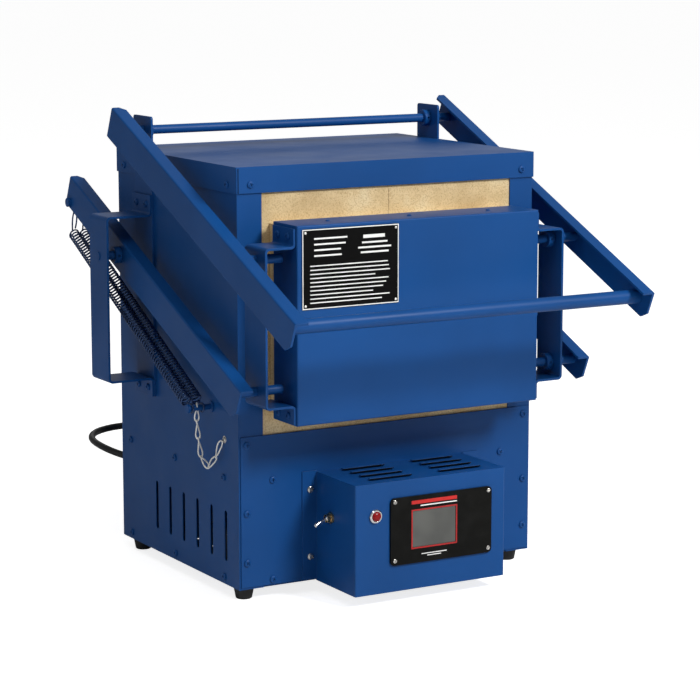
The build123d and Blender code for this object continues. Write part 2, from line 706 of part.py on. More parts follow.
def control_box():
    """Box on the lower front panel, with side flanges and louvres on top."""
    back = -SHEET
    outside = block((BOX_LEFT, BOX_RIGHT), (BOX_FRONT, back), (0, BOX_TOP))
    outside = fillet(outside.edges().group_by(Axis.Y)[0].filter_by(Axis.Z), 2.0)
    inside = block(
        (BOX_LEFT + SHEET, BOX_RIGHT - SHEET),
        (BOX_FRONT + SHEET, back + 1),
        (SHEET, BOX_TOP - SHEET),
    )
    flange = block((BOX_LEFT - BOX_FLANGE, BOX_LEFT + SHEET), (back - SHEET, back), (2, 154))
    far_flange = block((BOX_RIGHT - SHEET, BOX_RIGHT + BOX_FLANGE), (back - SHEET, back), (2, 154))
    shell = (outside - inside) + flange + far_flange
    louvre = extrude(SlotOverall(66, 7), 4, both=True)
    louvres = [Pos(x, y, BOX_TOP) * louvre for x in (-50, 60) for y in (-87, -63, -39, -15)]
    window = block((-50, 85), (BOX_FRONT - 1, BOX_FRONT + 3), (48, 118))
    pilot_hole = rod_y(PILOT_X, (BOX_FRONT - 1, BOX_FRONT + 3), PILOT_Z, 7.4)
    toggle_hole = rod_x((BOX_LEFT - 1, BOX_LEFT + 3), TOGGLE_Y, TOGGLE_Z, 6.3)
    holes = [rod_y(x, (-5, 1), z, SCREW_HOLE) for x, z in box_screw_places()]
    holes += [rod_y(x, (-112, -100), z, 1.9) for x, z in faceplate_screw_places()]
    return cut(shell, louvres + holes + [window, pilot_hole, toggle_hole])


def box_screws():
    """Screws in the control box's flanges."""
    places = [(x, -2 * SHEET, z) for x, z in box_screw_places()]
    return screws_at(places, (0, -1, 0), 4)


def faceplate_screw_places():
    """Middles of the four small screws in the faceplate's corners."""
    return [(x, z) for x in (-56.2, 92.6) for z in (43.0, 123.8)]


def faceplate():
    """Black plate on the front of the control box, with a window for the screen."""
    face = (BOX_FRONT - FACEPLATE_THICKNESS, BOX_FRONT)
    plate = block(FACEPLATE_X, face, FACEPLATE_Z)
    plate = fillet(plate.edges().filter_by(Axis.Y), 6.0)
    window = block(SCREEN_X, (BOX_FRONT - 5, BOX_FRONT + 1), SCREEN_Z)
    holes = [rod_y(x, (-112, -105), z, 1.9) for x, z in faceplate_screw_places()]
    return cut(plate, holes + [window])


def faceplate_screws():
    """Four small screws."""
    one = Plane(origin=(0, 0, 0), z_dir=(0, -1, 0)) * (
        Pos(0, 0, 0.7) * Cylinder(3.0, 1.4) + Pos(0, 0, -2.5) * Cylinder(1.5, 5.0)
    )
    face = BOX_FRONT - FACEPLATE_THICKNESS
    return [Pos(x, face, z) * one for x, z in faceplate_screw_places()]


def screen():
    """Display panel set in the faceplate's window."""
    across = (SCREEN_X[0] + LOOSE, SCREEN_X[1] - LOOSE)
    up = (SCREEN_Z[0] + LOOSE, SCREEN_Z[1] - LOOSE)
    return block(across, (BOX_FRONT - FACEPLATE_THICKNESS + 0.4, BOX_FRONT + 2.5), up)


def screen_frame():
    """Thin frame round the screen, on the faceplate."""
    face = (BOX_FRONT - FACEPLATE_THICKNESS - 0.5, BOX_FRONT - FACEPLATE_THICKNESS)
    outer = block((SCREEN_X[0] - 2, SCREEN_X[1] + 2), face, (SCREEN_Z[0] - 2, SCREEN_Z[1] + 2))
    inner = block(SCREEN_X, (face[0] - 1, face[1] + 1), SCREEN_Z)
    return outer - inner


def pilot_bezel():
    """Chromed ring of the pilot light."""
    ring = rod_y(PILOT_X, (BOX_FRONT - 3.5, BOX_FRONT), PILOT_Z, 9.5)
    ring = chamfer(ring.edges().group_by(Axis.Y)[0], 1.2)
    return ring - rod_y(PILOT_X, (BOX_FRONT - 5, BOX_FRONT + 1), PILOT_Z, 7.0)


def pilot_lens():
    """Red lens of the pilot light, with its body behind the sheet."""
    body = rod_y(PILOT_X, (BOX_FRONT - 3, BOX_FRONT + 22), PILOT_Z, 6.7)
    dome = Pos(PILOT_X, BOX_FRONT - 3, PILOT_Z) * scale(Sphere(6.7), (1, 0.6, 1))
    return body + dome


def toggle_body():
    """Switch body inside the box, with the threaded bushing that comes through its wall."""
    case = block((BOX_LEFT + SHEET, BOX_LEFT + 26), (TOGGLE_Y - 13, TOGGLE_Y + 13), (85, 107))
    bushing = rod_x((BOX_LEFT - 9, BOX_LEFT + 2), TOGGLE_Y, TOGGLE_Z, 5.9)
    mouth = rod_x((BOX_LEFT - 10, BOX_LEFT - 0.6), TOGGLE_Y, TOGGLE_Z, 4.9)
    return case + bushing - mouth


def toggle_nut():
    """Hexagon nut on the bushing."""
    nut = extrude(RegularPolygon(8.2, 6), 3.2)
    nut = Plane(origin=(BOX_LEFT, TOGGLE_Y, TOGGLE_Z), z_dir=(-1, 0, 0)) * nut
    return nut - rod_x((BOX_LEFT - 10, BOX_LEFT + 1), TOGGLE_Y, TOGGLE_Z, 5.9)


def toggle_lever():
    """Bat-shaped lever on a ball, pointing down when off."""
    ball = Sphere(4.3)
    bat = Pos(0, 0, 10) * Cone(1.9, 3.1, 20)
    tip = Pos(0, 0, 20) * Sphere(3.1)
    lever = ball + bat + tip
    tilt = math.radians(TOGGLE_TILT)
    direction = (-math.cos(tilt), 0, -math.sin(tilt))
    return Plane(origin=(TOGGLE_PIVOT_X, TOGGLE_Y, TOGGLE_Z), z_dir=direction) * lever


def circuit_board():
    """Controller board behind the faceplate."""
    board = block((-47, 82), (BOX_FRONT + 5, BOX_FRONT + 6.6), (50, 116))
    chips = [
        block((x, x + 18), (BOX_FRONT + 6.6, BOX_FRONT + 12), (z, z + 14))
        for x in (-38, -8, 26, 56)
        for z in (58, 92)
    ]
    for chip in chips:
        board = board + chip
    return board


def relay():
    """Power relay on the front panel, inside the control box."""
    base = block((-70, -22), (-6, -SHEET), (12, 62))
    case = block((-66, -26), (-32, -6), (18, 56))
    return base + case


def transformer():
    """Small transformer on the front panel, inside the control box."""
    core = block((40, 88), (-36, -SHEET), (16, 52))
    winding = block((47, 81), (-42, -4), (9, 59))
    return core + winding


def terminal_block():
    """Mains terminals inside the back panel."""
    base = block((-110, -50), (340, DEPTH - SHEET), (128, 158))
    slots = [block((x, x + 10), (339, 350), (147, 159)) for x in (-105, -85, -65)]
    return cut(base, slots)


def wiring():
    """Wire bundle from the relay through the front panel to the mains terminals."""
    points = [
        (-20, -40, 60),
        (0, -40, 60),
        (0, 60, 60),
        (-60, 200, 120),
        (-80, 300, 143),
        (-80, 339.7, 143),
    ]
    return tube_along(points, [9.0, 30.0, 30.0, 15.0], 3.0)


# ---- Power cord ----

CORD_POINTS = (
    (GLAND_X, DEPTH + GLAND_LENGTH, GLAND_Z),
    (-128.0, 516.0, GLAND_Z),
    (-236.0, 514.0, 126.0),
    (-236.0, 388.0, 116.0),
    (-128.0, 390.0, 84.0),
    (-40.0, 396.0, 10.0),
    (25.0, COIL_Y - COIL_LOW_RADIUS, FLOOR + CORD_RADIUS),
    (COIL_X, COIL_Y - COIL_LOW_RADIUS, FLOOR + CORD_RADIUS),
)


def cord_radii(points):
    """Bend radius at each inner corner, from its shorter run and its turn."""
    radii = []
    for before, here, after in zip(points, points[1:], points[2:]):
        first = Vector(*here) - Vector(*before)
        second = Vector(*after) - Vector(*here)
        turn = math.radians(first.get_angle(second))
        radii.append(0.45 * min(first.length, second.length) / math.tan(turn / 2))
    return radii


def cord_gland():
    """Tapered strain relief on the back panel, with a nut-shaped collar."""
    collar_ring = rod_y(GLAND_X, (DEPTH, DEPTH + 7), GLAND_Z, 12)
    taper = Cone(9.5, 6.6, GLAND_LENGTH - 7)
    taper = Pos(GLAND_X, DEPTH + 7 + (GLAND_LENGTH - 7) / 2, GLAND_Z) * Rot(-90, 0, 0) * taper
    inner = rod_y(GLAND_X, (DEPTH - SHEET - 8, DEPTH), GLAND_Z, 7.2)
    return collar_ring + taper + inner


def power_cord():
    """Round cord from the gland to the coil."""
    return tube_along(list(CORD_POINTS), cord_radii(CORD_POINTS), CORD_RADIUS)


def cord_coil():
    """Put-away length of the cord: three neat turns lying on the floor, as one outer shape."""
    reach = 2 * CORD_RADIUS
    ring = rod_z(0, 0, (0, COIL_HEIGHT), COIL_MIDDLE_RADIUS + reach)
    ring = ring - rod_z(0, 0, (-1, COIL_HEIGHT + 1), COIL_MIDDLE_RADIUS - reach)
    ring = fillet(ring.edges(), CORD_RADIUS * 0.9)
    return Pos(COIL_X, COIL_Y, FLOOR) * ring


def plug_body():
    """Moulded plug lying on the floor, where the last turn leaves the coil."""
    across = (PLUG_Y - 14, PLUG_Y + 14)
    body = block((PLUG_X + 20, PLUG_X + 52), across, (FLOOR, FLOOR + 29))
    body = fillet(body.edges().filter_by(Axis.X), 6)
    neck = Pos(PLUG_X + 11, PLUG_Y, FLOOR + PLUG_Z) * Rot(0, 90, 0) * Cone(6, 9, 22)
    return body + neck


def plug_blades():
    """Two flat blades and a round earth pin."""
    x = PLUG_X + 52
    upright = (FLOOR + 14, FLOOR + 20)
    near = block((x, x + 17), (PLUG_Y - 7.1, PLUG_Y - 5.5), upright)
    far = block((x, x + 17), (PLUG_Y + 5.5, PLUG_Y + 7.1), upright)
    earth = rod_x((x, x + 20), PLUG_Y, FLOOR + 7, 2.4)
    return [near, far, earth]


def both_sides(node, make):
    """Save a left piece and its mirror image on the right."""
    shape = make()
    solids = shape if isinstance(shape, list) else [shape]
    save(f"{node}_left", *solids)
    save(f"{node}_right", *[other_side(solid) for solid in solids])


def write_body():
    """Every node of the steel body and its lining."""
    save("base_pan", base_pan())
    both_sides("side_panel", side_panel)
    save("back_panel", back_panel())
    save("front_lower_panel", front_lower_panel())
    save("shelf", shelf())
    save("top_cap", top_cap())
    save("feet", *feet())
    save("panel_screws", *body_screws(), *chain_screws(), *box_screws(), *faceplate_screws())
    save("floor_bricks", *floor_bricks())
    walls = wall_bricks()
    save("wall_bricks", *walls, *[other_side(course) for course in walls])
    save("back_bricks", *back_bricks())
    save("roof_bricks", *roof_bricks())
    save("heating_elements", *heating_elements())
    save("temperature_probe", temperature_probe())
    save("probe_block", probe_block())


def write_linkage():
    """Every node of the lifting mechanism."""
    left_upright = upright()
    save("uprights", left_upright, other_side(left_upright))
    both_sides("rear_strap", rear_strap)
    save("rear_strap_screws", *rear_strap_screws())
    both_sides("upper_arm", upper_arm)
    save("hinge_rod", hinge_rod())
    save("handle_bar", handle_bar())
    upper_pin = door_pin(UPPER_PIN_Z)
    upper_collar = pin_collar(UPPER_PIN_Z)
    save("upper_door_pins", upper_pin, other_side(upper_pin))
    save("upper_collars", *rod_collars(), upper_collar, other_side(upper_collar))
    both_sides("lower_arm", lower_arm)
    both_sides("lower_arm_pins", lambda: [door_pin(LOWER_PIN_Z), rear_pivot_pin(), spring_bolt()])
    both_sides("lower_arm_collars", lambda: [pin_collar(LOWER_PIN_Z), rear_pivot_collar()])
    both_sides("springs", lambda: [spring(plane) for plane in SPRING_PLANES])
    stud = spring_stud()
    save("spring_studs", stud, other_side(stud))
    left_chain = chain()
    save("chains", left_chain, other_side(left_chain))


def write_door():
    """Every node of the door."""
    save("door_pan", door_pan())
    save("door_bricks", *door_bricks())
    both_sides("door_strap", door_strap)
    save("door_strap_screws", *door_strap_screws())
    save("notice_plate", notice_plate())
    save("door_rivets", *door_rivets(), *notice_rivets())


def write_controls():
    """Every node of the control box and the wiring space."""
    save("control_box", control_box())
    save("faceplate", faceplate())
    save("screen", screen())
    save("screen_frame", screen_frame())
    save("pilot_bezel", pilot_bezel())
    save("pilot_lens", pilot_lens())
    save("toggle_body", toggle_body(), toggle_nut())
    save("toggle_lever", toggle_lever())
    save("circuit_board", circuit_board())
    save("relay", relay())
    save("transformer", transformer())
    save("terminal_block", terminal_block())
    save("wiring", wiring())
    save("cord_gland", cord_gland())
    save("power_cord", power_cord())
    save("cord_coil", cord_coil())
    save("plug", plug_body(), *plug_blades())


os.makedirs("parts", exist_ok=True)
print("cord bend radii:", [round(radius, 1) for radius in cord_radii(CORD_POINTS)])
write_body()
write_linkage()
write_door()
write_controls()
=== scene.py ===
import json
import math
import random

import bmesh
import bpy
from mathutils import Matrix, Vector


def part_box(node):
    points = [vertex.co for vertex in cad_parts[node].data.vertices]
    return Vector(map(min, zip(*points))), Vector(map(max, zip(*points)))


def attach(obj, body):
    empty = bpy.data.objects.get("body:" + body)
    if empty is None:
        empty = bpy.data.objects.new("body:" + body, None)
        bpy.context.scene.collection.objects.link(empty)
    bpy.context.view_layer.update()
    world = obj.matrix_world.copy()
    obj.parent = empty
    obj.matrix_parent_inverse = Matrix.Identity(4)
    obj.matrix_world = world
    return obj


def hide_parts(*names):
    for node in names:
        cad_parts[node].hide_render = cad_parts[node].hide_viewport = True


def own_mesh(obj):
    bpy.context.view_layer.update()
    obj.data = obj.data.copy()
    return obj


# Front-loading pottery kiln: looks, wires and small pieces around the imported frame.
# Lengths are in metres, in the frame's own axes: X to the right, Y to the back, Z up.

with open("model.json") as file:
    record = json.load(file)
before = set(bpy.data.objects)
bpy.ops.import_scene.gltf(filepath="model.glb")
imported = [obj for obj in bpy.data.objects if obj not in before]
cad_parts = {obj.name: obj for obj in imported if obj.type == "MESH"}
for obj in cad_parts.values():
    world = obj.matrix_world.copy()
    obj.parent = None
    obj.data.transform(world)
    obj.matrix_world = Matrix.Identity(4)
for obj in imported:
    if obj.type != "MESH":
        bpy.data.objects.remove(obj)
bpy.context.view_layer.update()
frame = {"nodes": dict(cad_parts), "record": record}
record = frame["record"]
SLOT_OF = {part["node"]: part["material_slot"] for part in record["subparts"]}
random.seed(7)

MM = 0.001
SIDE_LOW, SIDE_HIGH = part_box("side_panel_left")
BODY_FRONT = SIDE_LOW.y
BODY_BOTTOM = SIDE_LOW.z


def from_body(x, y, z):
    """A point in millimetres from the middle of the body's front bottom edge, in the frame."""
    return Vector((x * MM, BODY_FRONT + y * MM, BODY_BOTTOM + z * MM))


# ---- Camera, light and floor ----

CAMERA_TARGET = Vector((-0.048, -0.095, 0.328))
CAMERA_DISTANCE = 3.4
CAMERA_YAW = math.radians(30.05)
CAMERA_DROP = math.radians(9.61)
CAMERA_LENS = 127.5
SENSOR = 36.0
FLOOR_HALF = 60.0
FLOOR_GLOW = 0.80
WORLD_STRENGTH = 0.22
LIGHTS = (
    # name, place, power in watts, width and height
    ("key", (1.1, -3.0, 2.7), 125.0, (0.9, 0.9)),
    ("overhead", (-0.9, -1.2, 3.0), 16.0, (1.4, 1.4)),
    ("left_fill", (-3.2, -0.6, 1.0), 7.0, (1.2, 2.0)),
    ("back", (1.6, 3.4, 2.2), 8.0, (2.6, 1.6)),
)


def aim(obj, target):
    """Turn a camera or a light towards a point."""
    direction = Vector(target) - obj.location
    obj.rotation_mode = "QUATERNION"
    obj.rotation_quaternion = direction.to_track_quat("-Z", "Y")


def add_camera():
    data = bpy.data.cameras.new("camera")
    data.lens = CAMERA_LENS
    data.sensor_width = SENSOR
    data.clip_end = 200.0
    camera = bpy.data.objects.new("camera", data)
    bpy.context.scene.collection.objects.link(camera)
    back = Vector((
        -math.sin(CAMERA_YAW) * math.cos(CAMERA_DROP),
        -math.cos(CAMERA_YAW) * math.cos(CAMERA_DROP),
        math.sin(CAMERA_DROP),
    ))
    camera.location = CAMERA_TARGET + back * CAMERA_DISTANCE
    aim(camera, CAMERA_TARGET)
    bpy.context.scene.camera = camera


def add_area_light(name, place, power, size, target=(0.0, 0.0, 0.3)):
    data = bpy.data.lights.new(name, "AREA")
    data.energy = power
    data.shape = "RECTANGLE"
    data.size, data.size_y = size
    light = bpy.data.objects.new(name, data)
    bpy.context.scene.collection.objects.link(light)
    light.location = place
    aim(light, target)
    light.visible_camera = False


def add_lights():
    for name, place, power, size in LIGHTS:
        add_area_light(name, place, power, size)
    world = bpy.data.worlds.new("studio")
    world.use_nodes = True
    background = world.node_tree.nodes["Background"]
    background.inputs["Color"].default_value = (1.0, 1.0, 1.0, 1.0)
    background.inputs["Strength"].default_value = WORLD_STRENGTH
    bpy.context.scene.world = world


def add_floor():
    """Pale floor. It looks lit to the camera, without lighting the kiln from below."""
    bm = bmesh.new()
    corners = [(-FLOOR_HALF, -FLOOR_HALF), (FLOOR_HALF, -FLOOR_HALF)]
    corners += [(FLOOR_HALF, FLOOR_HALF), (-FLOOR_HALF, FLOOR_HALF)]
    bm.faces.new([bm.verts.new((x, y, 0.0)) for x, y in corners])
    mesh = bpy.data.meshes.new("floor")
    bm.to_mesh(mesh)
    bm.free()
    floor = bpy.data.objects.new("floor", mesh)
    bpy.context.scene.collection.objects.link(floor)
    material, tree, shader = start_material("floor_paper")
    shader.inputs["Base Color"].default_value = (0.80, 0.80, 0.80, 1.0)
    shader.inputs["Roughness"].default_value = 0.9
    shader.inputs["Specular IOR Level"].default_value = 0.1
    shader.inputs["Emission Color"].default_value = (1.0, 1.0, 1.0, 1.0)
    path = tree.nodes.new("ShaderNodeLightPath")
    glow = calculate(tree, "MULTIPLY", path.outputs["Is Camera Ray"], FLOOR_GLOW)
    tree.links.new(glow, shader.inputs["Emission Strength"])
    mesh.materials.append(material)


# ---- Material building blocks ----

def start_material(name):
    """A new material with its node tree and its Principled shader."""
    material = bpy.data.materials.new(name)
    material.use_nodes = True
    tree = material.node_tree
    return material, tree, tree.nodes["Principled BSDF"]


def noise(tree, scale, detail=3.0, stretch=(1.0, 1.0, 1.0)):
    """Grey noise fixed to the object, as many features to the metre as the scale says."""
    coordinates = tree.nodes.new("ShaderNodeTexCoord")
    mapping = tree.nodes.new("ShaderNodeMapping")
    mapping.inputs["Scale"].default_value = stretch
    node = tree.nodes.new("ShaderNodeTexNoise")
    node.inputs["Scale"].default_value = scale
    node.inputs["Detail"].default_value = detail
    tree.links.new(coordinates.outputs["Object"], mapping.inputs["Vector"])
    tree.links.new(mapping.outputs["Vector"], node.inputs["Vector"])
    return node.outputs["Fac"]


def pores(tree, scale):
    """Distance to the nearest of many scattered points."""
    coordinates = tree.nodes.new("ShaderNodeTexCoord")
    node = tree.nodes.new("ShaderNodeTexVoronoi")
    node.inputs["Scale"].default_value = scale
    tree.links.new(coordinates.outputs["Object"], node.inputs["Vector"])
    return node.outputs["Distance"]


def ramp(tree, factor, stops):
    """Colours or grey values at positions from 0 to 1."""
    node = tree.nodes.new("ShaderNodeValToRGB")
    elements = node.color_ramp.elements
    elements[0].position = stops[0][0]
    elements[1].position = stops[-1][0]
    for position, _ in stops[1:-1]:
        elements.new(position)
    for element, (_, value) in zip(elements, stops):
        colour = value if isinstance(value, tuple) else (value, value, value)
        element.color = (*colour, 1.0)
    tree.links.new(factor, node.inputs["Fac"])
    return node.outputs["Color"]


def mix(tree, factor, first, second):
    """Blend two colours. Each may be a socket or a tuple."""
    node = tree.nodes.new("ShaderNodeMix")
    node.data_type = "RGBA"
    tree.links.new(factor, node.inputs["Factor"])
    for socket, value in ((node.inputs[6], first), (node.inputs[7], second)):
        if isinstance(value, tuple):
            socket.default_value = (*value, 1.0)
        else:
            tree.links.new(value, socket)
    return node.outputs[2]


def calculate(tree, operation, first, second):
    """One arithmetic step on a socket and a socket or a number."""
    node = tree.nodes.new("ShaderNodeMath")
    node.operation = operation
    tree.links.new(first, node.inputs[0])
    if isinstance(second, (int, float)):
        node.inputs[1].default_value = second
    else:
        tree.links.new(second, node.inputs[1])
    return node.outputs[0]


def soft_edges(tree, radius):
    """The surface's normal, rounded over at edges."""
    node = tree.nodes.new("ShaderNodeBevel")
    node.samples = 4
    node.inputs["Radius"].default_value = radius
    return node.outputs["Normal"]


def edge_mask(tree, rounded):
    """White along edges, where the rounded normal leaves the true one."""
    geometry = tree.nodes.new("ShaderNodeNewGeometry")
    dot = tree.nodes.new("ShaderNodeVectorMath")
    dot.operation = "DOT_PRODUCT"
    tree.links.new(rounded, dot.inputs[0])
    tree.links.new(geometry.outputs["Normal"], dot.inputs[1])
    return ramp(tree, dot.outputs["Value"], [(0.80, 1.0), (0.995, 0.0)])


def bump(tree, height, strength, distance, below=None):
    """Bump from a height, on top of another normal if one is given."""
    node = tree.nodes.new("ShaderNodeBump")
    node.inputs["Strength"].default_value = strength
    node.inputs["Distance"].default_value = distance
    tree.links.new(height, node.inputs["Height"])
    if below is not None:
        tree.links.new(below, node.inputs["Normal"])
    return node.outputs["Normal"]


# ---- Materials ----

def enamel(name, colour, rough, shine):
    """Sprayed enamel on steel: a fine skin, slow waves in the sheet and thin paint on edges."""
    material, tree, shader = start_material(name)
    rounded = soft_edges(tree, 0.9 * MM)
    lighter = tuple(min(1.0, channel * 1.12) for channel in colour)
    darker = tuple(channel * 0.90 for channel in colour)
    cloud = ramp(tree, noise(tree, 5.0), [(0.3, darker), (0.7, lighter)])
    scuff = ramp(tree, noise(tree, 60.0, 6.0), [(0.45, 0.0), (0.75, 1.0)])
    worn = calculate(tree, "MULTIPLY", edge_mask(tree, rounded), scuff)
    rubbed = tuple(min(1.0, channel * 1.6 + 0.02) for channel in colour)
    worn = calculate(tree, "MULTIPLY", worn, 0.7)
    tree.links.new(mix(tree, worn, cloud, rubbed), shader.inputs["Base Color"])
    matt = ramp(tree, noise(tree, 14.0, 5.0), [(0.3, rough - 0.05), (0.7, rough + 0.07)])
    tree.links.new(matt, shader.inputs["Roughness"])
    shader.inputs["Specular IOR Level"].default_value = shine
    waves = bump(tree, noise(tree, 7.0, 1.0), 0.12, 3 * MM, rounded)
    skin = bump(tree, noise(tree, 900.0, 2.0), 0.10, 0.15 * MM, waves)
    tree.links.new(skin, shader.inputs["Normal"])
    return material


def bare_metal(name, colour, rough, dirt=(0.25, 0.24, 0.22), metal=1.0):
    """Plated or plain steel with fine scratches and a little grime."""
    material, tree, shader = start_material(name)
    rounded = soft_edges(tree, 0.4 * MM)
    grime = ramp(tree, noise(tree, 120.0, 6.0), [(0.40, 0.0), (0.80, 0.6)])
    tree.links.new(mix(tree, grime, colour, dirt), shader.inputs["Base Color"])
    shader.inputs["Metallic"].default_value = metal
    matt = ramp(tree, noise(tree, 240.0, 5.0), [(0.3, rough * 0.75), (0.7, rough * 1.3)])
    tree.links.new(matt, shader.inputs["Roughness"])
    scratches = noise(tree, 500.0, 3.0, (1.0, 1.0, 0.1))
    tree.links.new(bump(tree, scratches, 0.08, 0.1 * MM, rounded), shader.inputs["Normal"])
    return material


def moulded(name, colour, rough, grain=1500.0, strength=0.12, shine=0.4):
    """Plastic or rubber with a fine moulded grain."""
    material, tree, shader = start_material(name)
    rounded = soft_edges(tree, 0.5 * MM)
    dusty = tuple(channel * 1.25 + 0.004 for channel in colour)
    dust = ramp(tree, noise(tree, 40.0, 6.0), [(0.45, 0.0), (0.8, 1.0)])
    tree.links.new(mix(tree, dust, colour, dusty), shader.inputs["Base Color"])
    matt = ramp(tree, noise(tree, 90.0, 3.0), [(0.3, rough - 0.06), (0.7, rough + 0.08)])
    tree.links.new(matt, shader.inputs["Roughness"])
    shader.inputs["Specular IOR Level"].default_value = shine
    skin = bump(tree, noise(tree, grain, 2.0), strength, 0.15 * MM, rounded)
    tree.links.new(skin, shader.inputs["Normal"])
    return material


def firebrick():
    """Soft insulating brick: cream, full of pores with painted shade in their hollows, with darker
    specks and scuffed corners.
    """
    material, tree, shader = start_material("firebrick")
    rounded = soft_edges(tree, 1.2 * MM)
    ground = ramp(
        tree,
        noise(tree, 22.0, 8.0),
        [(0.30, (0.60, 0.44, 0.23)), (0.55, (0.74, 0.57, 0.32)), (0.75, (0.80, 0.66, 0.41))],
    )
    speck = ramp(tree, noise(tree, 520.0, 4.0), [(0.48, 0.0), (0.68, 0.50)])
    speckled = mix(tree, speck, ground, (0.40, 0.24, 0.10))
    # Painted shade: each pore's hollow is darkened towards brown, standing in for the shadow inside it.
    pore_shade_mask = ramp(tree, pores(tree, 260.0), [(0.10, 1.0), (0.30, 0.0)])
    pore_shade_amount = calculate(tree, "MULTIPLY", pore_shade_mask, 0.3)
    tree.links.new(mix(tree, pore_shade_amount, speckled, (0.30, 0.18, 0.08)), shader.inputs["Base Color"])
    shader.inputs["Roughness"].default_value = 0.95
    shader.inputs["Specular IOR Level"].default_value = 0.15
    coarse = bump(tree, noise(tree, 160.0, 6.0), 0.5, 0.8 * MM, rounded)
    depth = ramp(tree, pores(tree, 260.0), [(0.05, 0.0), (0.35, 1.0)])
    holes = bump(tree, depth, 0.5, 0.6 * MM, coarse)
    tree.links.new(holes, shader.inputs["Normal"])
    return material


def white_ceramic():
    material, tree, shader = start_material("white_ceramic")
    rounded = soft_edges(tree, 0.6 * MM)
    colour = ramp(tree, noise(tree, 70.0, 6.0), [(0.3, (0.66, 0.62, 0.54)), (0.7, (0.82, 0.79, 0.72))])
    tree.links.new(colour, shader.inputs["Base Color"])
    shader.inputs["Roughness"].default_value = 0.6
    tree.links.new(bump(tree, noise(tree, 700.0), 0.15, 0.2 * MM, rounded), shader.inputs["Normal"])
    return material


def red_lens():
    """Ribbed red lens, faintly lit from within."""
    material, tree, shader = start_material("red_lens")
    colour = ramp(tree, noise(tree, 300.0), [(0.3, (0.16, 0.002, 0.003)), (0.7, (0.30, 0.006, 0.007))])
    tree.links.new(colour, shader.inputs["Base Color"])
    shader.inputs["Roughness"].default_value = 0.30
    shader.inputs["Specular IOR Level"].default_value = 0.25
    shader.inputs["Emission Color"].default_value = (1.0, 0.02, 0.02, 1.0)
    shader.inputs["Emission Strength"].default_value = 0.02
    facets = pores(tree, 700.0)
    tree.links.new(bump(tree, facets, 0.35, 0.3 * MM), shader.inputs["Normal"])
    return material


def display():
    """Unlit grey display behind a clear window, with a soft smear on it."""
    material, tree, shader = start_material("display")
    smear = [(0.35, (0.050, 0.052, 0.046)), (0.65, (0.088, 0.090, 0.080))]
    colour = ramp(tree, noise(tree, 18.0, 2.0), smear)
    tree.links.new(colour, shader.inputs["Base Color"])
    matt = ramp(tree, noise(tree, 60.0, 5.0), [(0.3, 0.10), (0.7, 0.22)])
    tree.links.new(matt, shader.inputs["Roughness"])
    shader.inputs["Coat Weight"].default_value = 0.8
    shader.inputs["Coat Roughness"].default_value = 0.05
    return material


def circuit_green():
    """Board lacquer over copper tracks."""
    material, tree, shader = start_material("circuit_green")
    tracks = ramp(tree, noise(tree, 260.0, 1.0, (1.0, 1.0, 4.0)), [(0.50, 0.0), (0.53, 1.0)])
    colour = mix(tree, tracks, (0.010, 0.09, 0.03), (0.03, 0.17, 0.06))
    tree.links.new(colour, shader.inputs["Base Color"])
    shader.inputs["Roughness"].default_value = 0.35
    tree.links.new(bump(tree, tracks, 0.2, 0.1 * MM), shader.inputs["Normal"])
    return material


BLUE = (0.0042, 0.062, 0.232)
MATERIALS = {
    "blue_enamel": enamel("blue_enamel", BLUE, 0.42, 0.22),
    "black_enamel": enamel("black_enamel", (0.0025, 0.0025, 0.0025), 0.45, 0.08),
    "zinc_steel": bare_metal("zinc_steel", (0.62, 0.62, 0.60), 0.30),
    # Painted reflection: a near-white colour, with half the metal turned to diffuse, stands in for the
    # zinc's bright sheen; the darker noise on it is grime.
    "zinc_painted_sheen": bare_metal("zinc_painted_sheen", (0.95, 0.94, 0.90), 0.36, (0.55, 0.52, 0.46), metal=0.55),
    "screw_steel": bare_metal("screw_steel", (0.66, 0.64, 0.60), 0.24),
    "spring_steel": bare_metal("spring_steel", (0.060, 0.100, 0.215), 0.26, (0.02, 0.035, 0.08)),
    "element_wire": bare_metal("element_wire", (0.22, 0.19, 0.16), 0.55, (0.10, 0.07, 0.05)),
    "chrome_trim": bare_metal("chrome_trim", (0.80, 0.80, 0.80), 0.10),
    "brass": bare_metal("brass", (0.60, 0.43, 0.22), 0.28),
    "firebrick": firebrick(),
    "white_ceramic": white_ceramic(),
    "black_plastic": moulded("black_plastic", (0.0030, 0.0030, 0.0024), 0.45, shine=0.12),
    "screen_plastic": display(),
    "red_trim": moulded("red_trim", (0.42, 0.012, 0.012), 0.40),
    "red_lens": red_lens(),
    "board_green": circuit_green(),
    "black_rubber": moulded("black_rubber", (0.012, 0.012, 0.012), 0.50, 900.0, 0.2),
    "cord_rubber": moulded("cord_rubber", (0.010, 0.010, 0.010), 0.42, 1100.0, 0.15),
    "white_print": moulded("white_print", (0.86, 0.86, 0.84), 0.50),
    "red_print": moulded("red_print", (0.55, 0.015, 0.012), 0.40),
}
LOOK_OF = {"toggle_body": "brass"}


def finish_cad_nodes():
    """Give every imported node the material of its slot, or the look named for it."""
    for name, obj in frame["nodes"].items():
        obj.data.materials.clear()
        obj.data.materials.append(MATERIALS[LOOK_OF.get(name, SLOT_OF[name])])


# ---- Mesh building blocks ----

def add_piece(name, data, material, body, slot, *replaced):
    """Put a mesh or curve in the scene on its body, with its material."""
    obj = bpy.data.objects.new(name, data)
    bpy.context.scene.collection.objects.link(obj)
    data.materials.append(MATERIALS[material])
    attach(obj, body)
    if replaced:
        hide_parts(*replaced)
    return obj


def join_shapes(name, shapes, smooth=True):
    """One mesh from several (vertices, faces) pairs."""
    vertices = []
    faces = []
    for shape_vertices, shape_faces in shapes:
        first = len(vertices)
        vertices += [tuple(vertex) for vertex in shape_vertices]
        faces += [tuple(first + index for index in face) for face in shape_faces]
    mesh = bpy.data.meshes.new(name)
    mesh.from_pydata(vertices, [], faces)
    mesh.validate()
    if smooth:
        mesh.shade_smooth()
    return mesh


